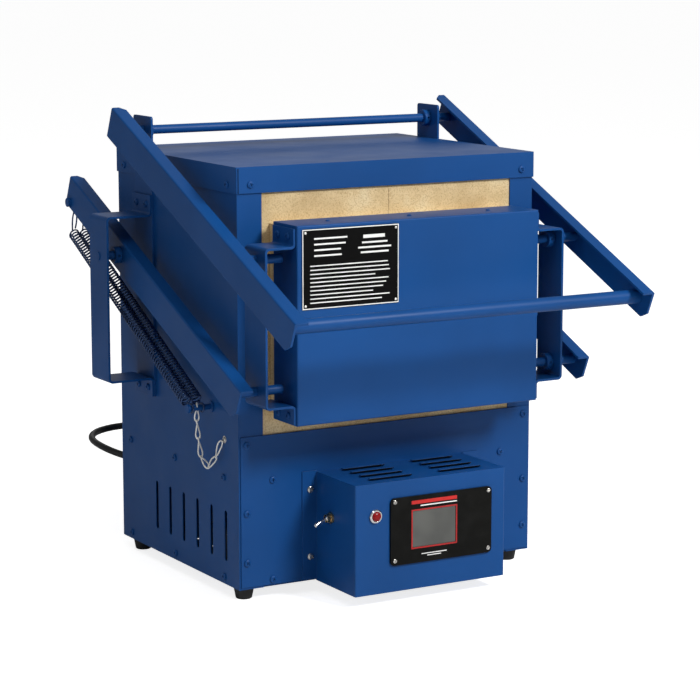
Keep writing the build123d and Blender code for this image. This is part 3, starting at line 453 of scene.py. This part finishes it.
def wire(points, radius, sides=8, closed=False):
    """A round wire through the points, with square ends unless it closes on itself."""
    count = len(points)
    vertices = []
    side = None
    for index, point in enumerate(points):
        after = points[(index + 1) % count] if closed or index < count - 1 else point
        before = points[index - 1] if closed or index > 0 else point
        tangent = (after - before).normalized()
        if side is None:
            side = tangent.orthogonal().normalized()
        side = (side - tangent * side.dot(tangent)).normalized()
        other = tangent.cross(side)
        for step in range(sides):
            angle = 2 * math.pi * step / sides
            vertices.append(point + side * radius * math.cos(angle) + other * radius * math.sin(angle))
    faces = []
    last = count if closed else count - 1
    for index in range(last):
        here = index * sides
        there = ((index + 1) % count) * sides
        for step in range(sides):
            after = (step + 1) % sides
            faces.append((here + step, here + after, there + after, there + step))
    if not closed:
        faces.append(tuple(range(sides - 1, -1, -1)))
        faces.append(tuple(range((count - 1) * sides, count * sides)))
    return vertices, faces


def slab(low, high, bevel=0.0):
    """A box between two corners, with bevelled edges if asked."""
    bm = bmesh.new()
    size = Vector(high) - Vector(low)
    middle = (Vector(high) + Vector(low)) / 2
    place = Matrix.Translation(middle) @ Matrix.Diagonal((*size, 1.0))
    bmesh.ops.create_cube(bm, size=1.0, matrix=place)
    if bevel > 0:
        bmesh.ops.bevel(bm, geom=bm.edges[:], offset=bevel, segments=2, affect="EDGES")
    bm.verts.index_update()
    vertices = [vertex.co.copy() for vertex in bm.verts]
    faces = [[vertex.index for vertex in face.verts] for face in bm.faces]
    bm.free()
    return vertices, faces


def lathe(profile, steps=32):
    """Turn a list of (radius, height) about Z. A radius of zero closes an end."""
    bm = bmesh.new()
    rings = []
    for radius, height in profile:
        if radius == 0:
            rings.append([bm.verts.new((0.0, 0.0, height))])
            continue
        ring = []
        for step in range(steps):
            angle = 2 * math.pi * step / steps
            ring.append(bm.verts.new((radius * math.cos(angle), radius * math.sin(angle), height)))
        rings.append(ring)
    for lower, upper in zip(rings, rings[1:]):
        for step in range(steps):
            after = (step + 1) % steps
            if len(lower) == 1:
                bm.faces.new((lower[0], upper[after], upper[step]))
            elif len(upper) == 1:
                bm.faces.new((lower[step], lower[after], upper[0]))
            else:
                bm.faces.new((lower[step], lower[after], upper[after], upper[step]))
    bmesh.ops.recalc_face_normals(bm, faces=bm.faces[:])
    mesh = bpy.data.meshes.new("lathe")
    bm.to_mesh(mesh)
    bm.free()
    return mesh


def cut_mesh(mesh, cutters):
    """Take box shapes out of a closed mesh."""
    solid = bpy.data.objects.new("solid", mesh)
    bpy.context.scene.collection.objects.link(solid)
    tools = []
    for number, shape in enumerate(cutters):
        tool = bpy.data.objects.new(f"tool_{number}", join_shapes("tool", [shape], smooth=False))
        bpy.context.scene.collection.objects.link(tool)
        modifier = solid.modifiers.new("cut", "BOOLEAN")
        modifier.object = tool
        modifier.operation = "DIFFERENCE"
        modifier.solver = "EXACT"
        tools.append(tool)
    graph = bpy.context.evaluated_depsgraph_get()
    result = bpy.data.meshes.new_from_object(solid.evaluated_get(graph))
    for obj in (solid, *tools):
        bpy.data.objects.remove(obj)
    return result


def mesh_shape(mesh, matrix):
    """A mesh's (vertices, faces), moved by a matrix."""
    vertices = [matrix @ vertex.co for vertex in mesh.vertices]
    return vertices, [tuple(polygon.vertices) for polygon in mesh.polygons]


def solids_of(node):
    """(lowest corner, highest corner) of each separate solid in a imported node."""
    bm = bmesh.new()
    bm.from_mesh(frame["nodes"][node].data)
    bmesh.ops.remove_doubles(bm, verts=bm.verts[:], dist=0.01 * MM)
    left = set(bm.verts)
    boxes = []
    while left:
        start = left.pop()
        low, high = start.co.copy(), start.co.copy()
        queue = [start]
        while queue:
            here = queue.pop()
            low = Vector(map(min, low, here.co))
            high = Vector(map(max, high, here.co))
            for edge in here.link_edges:
                there = edge.other_vert(here)
                if there in left:
                    left.remove(there)
                    queue.append(there)
        boxes.append((low, high))
    bm.free()
    return sorted(boxes, key=lambda pair: tuple(round(value, 5) for value in pair[0]))


# ---- Screws ----

SCREW_SPLIT = 3.5 * MM     # a packed screw with a radius above this gets the large head
BOX_REACH = 160 * MM       # the control box's screws lie within this of the middle
CHAIN_SCREW_Z = 201
CHAIN_SCREW_SLACK = 5 * MM


def screw_head(radius, height, washer=0.0):
    """Domed head with a cross recess, its underside at the origin, facing +Z."""
    steps = 7
    profile = [(0, 0.0)]
    if washer > 0:
        profile += [(washer, 0.0), (washer, height * 0.22), (radius, height * 0.25)]
    else:
        profile.append((radius, 0.0))
    for step in range(1, steps):
        turn = math.pi / 2 * step / steps
        profile.append((radius * math.cos(turn) ** 0.6, height * (0.28 + 0.72 * math.sin(turn))))
    profile.append((0, height))
    head = lathe(profile)
    width = radius * 0.14
    reach = radius * 0.50
    floor = height * 0.45
    first = slab((-reach, -width, floor), (reach, width, height * 2))
    second = slab((-width, -reach, floor), (width, reach, height * 2))
    return cut_mesh(head, [first, second])


def head_place(low, high):
    """Where a packed screw's head sits: (matrix, radius, facing axis)."""
    size = high - low
    middle = (low + high) / 2
    differences = [abs(size[(axis + 1) % 3] - size[(axis + 2) % 3]) for axis in range(3)]
    axis = differences.index(min(differences))
    centre = Vector((0.0, (BODY_FRONT + SIDE_HIGH.y) / 2, 0.0))
    sign = 1.0 if middle[axis] > centre[axis] else -1.0
    direction = Vector((0.0, 0.0, 0.0))
    direction[axis] = sign
    radius = size[(axis + 1) % 3] / 2
    height = radius * (0.6 if radius > SCREW_SPLIT else 0.467)
    place = middle.copy()
    place[axis] = (high[axis] if sign > 0 else low[axis]) - sign * height
    turn = direction.to_track_quat("Z", "Y").to_matrix().to_4x4()
    spin = Matrix.Rotation(random.uniform(0.0, math.pi / 2), 4, "Z")
    return Matrix.Translation(place) @ turn @ spin, radius, axis


def is_bare(place, axis):
    """Bare screws hold the control box, its plate and the chains; the rest are painted."""
    on_box = axis == 1 and place.y < BODY_FRONT and abs(place.x) < BOX_REACH
    return on_box or is_chain_screw(place, axis)


def is_chain_screw(place, axis):
    """Whether a screw faces sideways at the height of the chains' screws."""
    return axis == 0 and abs(place.z - from_body(0, 0, CHAIN_SCREW_Z).z) < CHAIN_SCREW_SLACK


def add_screws():
    """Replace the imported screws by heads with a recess."""
    large = screw_head(5.0 * MM, 2.7 * MM)
    small = screw_head(3.0 * MM, 1.4 * MM)
    washer = screw_head(3.6 * MM, 2.4 * MM, 5.2 * MM)
    groups = (
        ("panel_screws", "kiln"),
        ("rear_strap_screws", "kiln"),
        ("door_strap_screws", "door"),
    )
    for node, body in groups:
        shapes = {"painted": [], "bare": []}
        for low, high in solids_of(node):
            matrix, radius, axis = head_place(low, high)
            place = matrix.translation
            mesh = large if radius > SCREW_SPLIT else small
            mesh = washer if is_chain_screw(place, axis) else mesh
            bare = node == "panel_screws" and is_bare(place, axis)
            shapes["bare" if bare else "painted"].append(mesh_shape(mesh, matrix))
        for finish, material in (("painted", "blue_enamel"), ("bare", "screw_steel")):
            if shapes[finish]:
                mesh = join_shapes(f"{node}_{finish}", shapes[finish], smooth=False)
                add_piece(f"{node}_{finish}", mesh, material, body, "screw_steel", node)


# ---- Rivets and louvres ----

RIVET_SMALL = 2.2 * MM
LOUVRE_LENGTH = 66
LOUVRE_X = (-50, 60)
LOUVRE_FRONTS = (-90.5, -66.5, -42.5, -18.5)
LOUVRE_RISE = 1.1


def add_rivets():
    """Low domes: painted along the door pan, bare in the corners of the black plate."""
    dome = [(0, 0.0), (1.0, 0.0), (0.94, 0.22), (0.72, 0.40), (0.38, 0.49), (0, 0.52)]
    shapes = {"painted": [], "bare": []}
    for low, high in solids_of("door_rivets"):
        matrix, radius, _ = head_place(low, high)
        mesh = lathe([(radius * across, radius * up) for across, up in dome], 20)
        shapes["bare" if radius < RIVET_SMALL else "painted"].append(mesh_shape(mesh, matrix))
    for finish, material in (("painted", "blue_enamel"), ("bare", "zinc_painted_sheen")):
        mesh = join_shapes(f"rivets_{finish}", shapes[finish])
        add_piece(f"rivets_{finish}", mesh, material, "door", "zinc_steel", "door_rivets")


def add_louvres():
    """A low pressed hood over each slot of the box, with a black slab of painted shade in its mouth to
    the front.
    """
    _, box_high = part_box("control_box")
    top = box_high.z
    mouth_shades = []
    hoods = []
    for x in LOUVRE_X:
        for y in LOUVRE_FRONTS:
            left = from_body(x - LOUVRE_LENGTH / 2, y, 0)
            right = from_body(x + LOUVRE_LENGTH / 2, y, 0)
            low = (left.x, left.y, top - 0.5 * MM)
            high = (right.x, right.y + 6.5 * MM, top + LOUVRE_RISE * MM)
            hoods.append(slab(low, high, 0.45 * MM))
            # Painted shade: a thin black slab closes each hood's mouth, where the box's inside would lie
            # in shadow.
            mouth_shade_low = (left.x + 0.6 * MM, left.y - 0.3 * MM, top - 0.5 * MM)
            mouth_shade_high = (right.x - 0.6 * MM, left.y + 0.3 * MM, top + (LOUVRE_RISE - 0.3) * MM)
            mouth_shades.append(slab(mouth_shade_low, mouth_shade_high))
    mesh = join_shapes("louvre_hoods", hoods, smooth=False)
    add_piece("louvre_hoods", mesh, "blue_enamel", "kiln", "blue_enamel")
    mesh = join_shapes("louvre_mouth_shades", mouth_shades, smooth=False)
    add_piece("louvre_mouth_shades", mesh, "black_enamel", "kiln", "black_enamel")


# ---- Springs ----

SPRING_RADIUS = 7.5 * MM
SPRING_WIRE = 1.25 * MM
SPRING_EYE = 6.2 * MM
SPRING_LEG = 13 * MM
SPRING_PITCH = 6.0 * MM
SPRING_BEND = (466.0, 440.0)
BOLT_HEAD = 6.5 * MM
EYE_STEPS = 14
TURN_STEPS = 12
HOOK_STEPS = 12
OUTER_BULGE = 6 * MM       # how far the outer spring's long hook bows from a straight line
INNER_BULGE = 2 * MM


def spring_ends():
    """Middle of the stud, the end of the coils and the arm's bolt, all at X = 0."""
    stud_low, stud_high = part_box("spring_studs")
    _, pins_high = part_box("lower_arm_pins_left")
    stud = Vector((0.0, stud_high.y - 8 * MM, (stud_low.z + stud_high.z) / 2))
    bolt = Vector((0.0, pins_high.y - BOLT_HEAD, pins_high.z - BOLT_HEAD))
    return stud, from_body(0.0, *SPRING_BEND), bolt


def spring_wire(x, stud, bend, bolt, bulge):
    """One wire: an eye round the stud, the coils, and a long double hook up to the bolt."""
    out = Vector((1.0, 0.0, 0.0))
    along = (bend - stud).normalized()
    up = out.cross(along)
    mean = SPRING_RADIUS - 0.2 * MM
    start = stud + out * x
    points = []
    for step in range(EYE_STEPS):
        angle = math.pi * (0.1 + 1.9 * step / EYE_STEPS)
        points.append(start + along * SPRING_EYE * math.cos(angle) + up * SPRING_EYE * math.sin(angle))
    last = (bend - stud).length
    turns = round((last - SPRING_LEG) / SPRING_PITCH)
    for step in range(turns * TURN_STEPS + 1):
        share = step / (turns * TURN_STEPS)
        angle = 2 * math.pi * turns * share
        fade = min(1.0, 0.05 + step / 8, 0.05 + (turns * TURN_STEPS - step) / 8)
        place = start + along * (SPRING_LEG + (last - SPRING_LEG) * share)
        points.append(place + (up * math.cos(angle) + out * math.sin(angle)) * mean * fade)
    hook_start = bend + out * x
    hook_end = bolt + out * x
    rise = (hook_end - hook_start).normalized()
    back = out.cross(rise)
    rim = hook_end - rise * SPRING_EYE
    for step in range(1, HOOK_STEPS):
        share = step / HOOK_STEPS
        bow = back * -bulge * math.sin(math.pi * share)
        points.append(hook_start.lerp(rim, share) + bow)
    for step in range(EYE_STEPS):
        angle = math.pi * (1.0 + 1.8 * step / EYE_STEPS)
        across = back * SPRING_EYE * math.sin(angle)
        points.append(hook_end + rise * SPRING_EYE * math.cos(angle) + across)
    foot = hook_start - along * 6 * MM + up * mean
    for step in range(1, HOOK_STEPS):
        share = step / HOOK_STEPS
        points.append(rim.lerp(foot, share) + back * bulge * 0.7 * math.sin(math.pi * share))
    return wire(points, SPRING_WIRE, 6)


def add_springs():
    """Two springs side by side on each side, riding on the springs' body; on the kiln they shorten as
    the door goes up.
    """
    stud, bend, bolt = spring_ends()
    for side in ("left", "right"):
        low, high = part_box(f"springs_{side}")
        planes = (low.x + SPRING_RADIUS, high.x - SPRING_RADIUS)
        outer, inner = sorted(planes, key=abs, reverse=True)
        shapes = [
            spring_wire(outer, stud, bend, bolt, OUTER_BULGE),
            spring_wire(inner, stud, bend, bolt, INNER_BULGE),
        ]
        node = f"springs_{side}"
        mesh = join_shapes(f"spring_coils_{side}", shapes)
        piece = add_piece(f"spring_coils_{side}", mesh, "spring_steel", node, "spring_steel", node)
        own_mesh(piece)


# ---- Chains ----

CHAIN_ROUTE = (
    (-256.0, 78.0, 246.0),
    (-252.5, 85.8, 209.7),
    (-247.5, 82.4, 167.0),
    (-245.5, 71.9, 155.4),
    (-243.0, 54.2, 167.5),
    (-238.5, 41.0, 199.0),
)
CHAIN_LINKS = 6
LINK_WIRE = 1.1 * MM
LINK_HALF_WIDTH = 3.8 * MM
LINK_STEPS = 36


def points_along(points, count):
    """Evenly spaced points on a chain of straight runs, ends included."""
    runs = [(after - before).length for before, after in zip(points, points[1:])]
    step = sum(runs) / (count - 1)
    found = []
    for number in range(count):
        left = min(number * step, sum(runs) - 1e-9)
        for run, before, after in zip(runs, points, points[1:]):
            if left <= run:
                found.append(before.lerp(after, left / run))
                break
            left -= run
    return found


def twisted_link(start, end, face):
    """An oval link whose second half is turned a quarter about its length."""
    along = (end - start).normalized()
    middle = (start + end) / 2
    half = (end - start).length / 2 + LINK_WIRE * 0.9
    side = (face - along * face.dot(along)).normalized()
    other = along.cross(side)
    points = []
    for step in range(LINK_STEPS):
        angle = 2 * math.pi * step / LINK_STEPS
        flat = math.copysign(abs(math.cos(angle)) ** 0.75, math.cos(angle))
        reach = half * flat
        width = LINK_HALF_WIDTH * math.sin(angle) * (0.72 + 0.28 * abs(flat))
        twist = math.pi / 4 * (1 + max(-1.0, min(1.0, 1.6 * reach / half)))
        across = side * math.cos(twist) + other * math.sin(twist)
        points.append(middle + along * reach + across * width)
    return wire(points, LINK_WIRE, 8, closed=True)


def add_chains():
    """A short twisted chain on each side, from the spring stud to a washer-headed screw."""
    for side, sign in (("left", -1), ("right", 1)):
        route = [from_body(-sign * x, y, z) for x, y, z in CHAIN_ROUTE]
        joints = points_along(route, CHAIN_LINKS + 1)
        face = Vector((0.35, 1.0, 0.3))
        links = [twisted_link(start, end, face) for start, end in zip(joints, joints[1:])]
        mesh = join_shapes(f"chain_links_{side}", links)
        add_piece(f"chain_links_{side}", mesh, "zinc_painted_sheen", "kiln", "zinc_steel", "chains")


# ---- Heating elements ----

ELEMENT_HEIGHTS = (315, 365, 440)
ELEMENT_SIDE = 171
ELEMENT_BACK = 308
ELEMENT_FRONT = 30
ELEMENT_WIRE = 0.9 * MM
ELEMENT_COIL = 3.6 * MM
ELEMENT_PITCH = 4.4 * MM
HOOP_CORNER = 8
CORNER_STEPS = 6
COIL_STEPS = 8


def hoop_points(z):
    """Points round the side and back walls, with rounded corners."""
    corner = HOOP_CORNER
    points = [from_body(-ELEMENT_SIDE, ELEMENT_FRONT, z)]
    for sign in (-1, 1):
        for step in range(CORNER_STEPS + 1):
            turn = math.pi / 2 * step / CORNER_STEPS
            turn = turn if sign < 0 else math.pi / 2 - turn
            x = sign * (ELEMENT_SIDE - corner + corner * math.cos(turn))
            y = ELEMENT_BACK - corner + corner * math.sin(turn)
            points.append(from_body(x, y, z))
    points.append(from_body(ELEMENT_SIDE, ELEMENT_FRONT, z))
    return points


def element_coil(z):
    """Wire wound round a hoop."""
    path = hoop_points(z)
    length = sum((after - before).length for before, after in zip(path, path[1:]))
    turns = round(length / ELEMENT_PITCH)
    centres = points_along(path, turns * COIL_STEPS + 1)
    points = []
    for index, centre in enumerate(centres):
        after = centres[min(index + 1, len(centres) - 1)]
        before = centres[max(index - 1, 0)]
        tangent = (after - before).normalized()
        up = Vector((0.0, 0.0, 1.0))
        out = tangent.cross(up)
        angle = 2 * math.pi * index / COIL_STEPS
        points.append(centre + (up * math.cos(angle) + out * math.sin(angle)) * ELEMENT_COIL)
    return wire(points, ELEMENT_WIRE, 5)


def add_elements():
    """One coiled hoop in each groove of the walls."""
    coils = [element_coil(z) for z in ELEMENT_HEIGHTS]
    mesh = join_shapes("element_coils", coils)
    add_piece("element_coils", mesh, "element_wire", "kiln", "element_wire", "heating_elements")


# ---- Power cord ----

CORD_RADIUS = 5
PLUG_NECK = 20 * MM
PLUG_MOULD_END = 52 * MM
BLADE_OFFSET = 6.3
BLADE_HALF = 0.8
CORD_ROUTE = (
    (-128.0, 398.3, 134.0),
    (-128.0, 516.0, 134.0),
    (-236.0, 514.0, 126.0),
    (-236.0, 388.0, 116.0),
    (-128.0, 390.0, 84.0),
    (-40.0, 396.0, 10.0),
    (25.0, 399.0, -13.0),
)
COIL_MIDDLE = (75.0, 456.0)
COIL_RADII = (57.0, 47.0, 52.0)
COIL_LEVELS = (-13.0, -3.0)
POINTS_PER_TURN = 16
SPLINE_CUT = 1.012         # a spline through evenly turned points lies this much inside them


def ease(share):
    """Smooth step from 0 to 1."""
    share = max(0.0, min(1.0, share))
    return share * share * (3 - 2 * share)


def coil_points():
    """Three turns: the outer and the inner on the floor, and the middle one on top of them."""
    outer, inner, top = COIL_RADII
    floor, level = COIL_LEVELS
    points = []
    for number in range(3 * POINTS_PER_TURN + 1):
        turn = number / POINTS_PER_TURN
        radius = outer + (inner - outer) * ease((turn - 0.875) / 0.125)
        radius += (top - inner) * ease((turn - 1.85) / 0.15)
        radius += 2 * CORD_RADIUS * ease((turn - 2.75) / 0.25)
        z = floor + (level - floor) * ease((turn - 1.58) / 0.25)
        angle = 2 * math.pi * turn - math.pi / 2
        x = COIL_MIDDLE[0] + radius * SPLINE_CUT * math.cos(angle)
        y = COIL_MIDDLE[1] + radius * SPLINE_CUT * math.sin(angle)
        points.append((x, y, z))
    return points


def add_cord():
    """Rubber cord: out of the back, round a loop in the air and down into a small coil."""
    plug_low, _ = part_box("plug")
    route = [from_body(*point) for point in (*CORD_ROUTE, *coil_points())]
    neck = Vector((plug_low.x + 3 * MM, route[-1].y, route[-1].z))
    route.append(neck)
    curve = bpy.data.curves.new("cord_line", "CURVE")
    curve.dimensions = "3D"
    curve.bevel_depth = CORD_RADIUS * MM
    curve.bevel_resolution = 5
    curve.use_fill_caps = True
    curve.resolution_u = 8
    spline = curve.splines.new("NURBS")
    spline.points.add(len(route) - 1)
    for point, place in zip(spline.points, route):
        point.co = (*place, 1.0)
    spline.order_u = 3
    spline.use_endpoint_u = True
    cord = add_piece("cord_line", curve, "cord_rubber", "kiln", "cord_rubber", "power_cord", "cord_coil")
    plug = add_plug()


def add_plug():
    """Moulded plug with finger grips, two flat blades and a round earth pin."""
    low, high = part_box("plug")
    y = (low.y + high.y) / 2
    neck_z = from_body(0, 0, COIL_LEVELS[1]).z
    body_start = low.x + PLUG_NECK
    body_end = low.x + PLUG_MOULD_END
    turn = Matrix.Translation((low.x, y, neck_z)) @ Matrix.Rotation(math.pi / 2, 4, "Y")
    profile = [(0, 0.0), (5.6 * MM, 0.0)]
    for rib in range(4):
        start = (2 + 5 * rib) * MM
        radius = (6.3 + 0.6 * rib) * MM
        profile += [(radius, start), (radius, start + 2.8 * MM), (radius - 1.1 * MM, start + 3.4 * MM)]
        profile += [(radius - 1.1 * MM, start + 4.6 * MM)]
    profile += [(8.4 * MM, 22 * MM), (0, 22 * MM)]
    shapes = [mesh_shape(lathe(profile), turn)]
    grip_low = (body_start, low.y + 0.5 * MM, low.z)
    grip_high = (body_end, high.y - 0.5 * MM, high.z)
    shapes.append(slab(grip_low, grip_high, 4 * MM))
    for step in range(3):
        x = body_start + (8 + 6 * step) * MM
        ridge_low = (x, low.y, low.z + 6 * MM)
        ridge_high = (x + 2.5 * MM, high.y, high.z - 6 * MM)
        shapes.append(slab(ridge_low, ridge_high, 0.6 * MM))
    mould = add_piece(
        "plug_moulding", join_shapes("plug_moulding", shapes, smooth=False), "cord_rubber", "kiln",
        "black_plastic", "plug",
    )
    blades = []
    for offset in (-BLADE_OFFSET, BLADE_OFFSET):
        start = (body_end - 1 * MM, y + (offset - BLADE_HALF) * MM, low.z + 14 * MM)
        end = (body_end + 17 * MM, y + (offset + BLADE_HALF) * MM, low.z + 20 * MM)
        blades.append(slab(start, end, 0.3 * MM))
    pin_profile = [(0, 0.0), (2.4 * MM, 0.0), (2.4 * MM, 18.5 * MM)]
    pin_profile += [(1.6 * MM, 20.5 * MM), (0, 21 * MM)]
    pin = lathe(pin_profile, 20)
    pin_place = Matrix.Translation((body_end - 1 * MM, y, low.z + 7 * MM))
    blades.append(mesh_shape(pin, pin_place @ Matrix.Rotation(math.pi / 2, 4, "Y")))
    metal = add_piece(
        "plug_blades", join_shapes("plug_blades", blades, smooth=False), "brass", "kiln",
        "zinc_steel", "plug",
    )
    return [mould, metal]


# ---- Printed plates ----

def strip(face_y, x, z, thickness=0.12 * MM):
    """A thin flat bar printed on a surface that faces the front."""
    return slab((x[0], face_y - thickness, z[0]), (x[1], face_y + 0.05 * MM, z[1]))


def frame_strips(face_y, x, z, width):
    """Four strips that make a rectangle."""
    return [
        strip(face_y, x, (z[0], z[0] + width)),
        strip(face_y, x, (z[1] - width, z[1])),
        strip(face_y, (x[0], x[0] + width), (z[0] + width, z[1] - width)),
        strip(face_y, (x[1] - width, x[1]), (z[0] + width, z[1] - width)),
    ]


def add_notice_print():
    """A white border and plain bars on the door's plate, in place of words."""
    low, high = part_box("notice_plate")
    face = low.y
    inset = 0.5 * MM
    x = (low.x + inset, high.x - inset)
    z = (low.z + inset, high.z - inset)
    shapes = frame_strips(face, x, z, 1.3 * MM)
    left = low.x + 12 * MM
    right = high.x - 10 * MM
    top = high.z - 12 * MM
    middle = low.x + 84 * MM
    for row in range(4):
        z = top - row * 7.5 * MM
        end = left + random.uniform(42, 56) * MM
        shapes.append(strip(face, (left + 6 * MM, end), (z - 2.2 * MM, z)))
    shapes.append(strip(face, (middle + 8 * MM, right - 12 * MM), (top - 4.5 * MM, top)))
    for row in range(3):
        z = top - 9 * MM - row * 6.5 * MM
        trim = random.uniform(0, 9) * MM
        shapes.append(strip(face, (middle + trim, right - 2 * MM - trim), (z - 2.4 * MM, z)))
    for row in range(10):
        z = top - 36 * MM - row * 5.4 * MM
        end = right - random.uniform(2, 34) * MM
        shapes.append(strip(face, (left, end), (z - 1.5 * MM, z)))
    mesh = join_shapes("notice_bars", shapes, smooth=False)
    add_piece("notice_bars", mesh, "white_print", "door", "black_enamel")


def add_faceplate_print():
    """A plain red bar over the screen and short light bars, in place of words."""
    screen_low, screen_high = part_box("screen")
    plate_low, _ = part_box("faceplate")
    face = plate_low.y
    x = (screen_low.x - 2 * MM, screen_high.x + 2 * MM)
    z = screen_high.z + 6 * MM
    red = [strip(face, x, (z + 3.5 * MM, z + 8.5 * MM))]
    mesh = join_shapes("faceplate_bar", red, smooth=False)
    add_piece("faceplate_bar", mesh, "red_print", "kiln", "red_trim")
    pale = [strip(face, (x[0] + 14 * MM, x[1]), (z, z + 1.6 * MM))]
    middle = (x[0] + x[1]) / 2
    bottom = plate_low.z + 8 * MM
    pale.append(strip(face, (middle - 20 * MM, middle + 20 * MM), (bottom + 3 * MM, bottom + 4.2 * MM)))
    pale.append(strip(face, (middle - 11 * MM, middle + 11 * MM), (bottom, bottom + 1.2 * MM)))
    mesh = join_shapes("faceplate_lines", pale, smooth=False)
    add_piece("faceplate_lines", mesh, "white_print", "kiln", "black_plastic")


def add_cap_seam():
    """The open fold at the cap's front left corner, where its side skirt laps the front one."""
    low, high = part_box("top_cap")
    x = low.x + 2.4 * MM
    gap = strip(low.y, (x, x + 1.6 * MM), (low.z + 0.4 * MM, high.z - 2.2 * MM), 0.10 * MM)
    lap_low = (low.x + 0.2 * MM, low.y - 0.7 * MM, low.z)
    lap_high = (x, low.y + 0.2 * MM, high.z - 2.2 * MM)
    lap = slab(lap_low, lap_high, 0.2 * MM)
    mesh = join_shapes("cap_gap", [gap], smooth=False)
    add_piece("cap_gap", mesh, "black_enamel", "kiln", "black_enamel")
    mesh = join_shapes("cap_lap", [lap], smooth=False)
    add_piece("cap_lap", mesh, "blue_enamel", "kiln", "blue_enamel")


add_camera()
add_lights()
add_floor()
finish_cad_nodes()
add_cord()
add_springs()
add_chains()
add_screws()
add_rivets()
add_louvres()
add_elements()
add_notice_print()
add_faceplate_print()
add_cap_seam()
bpy.context.scene.view_settings.view_transform = "Standard"
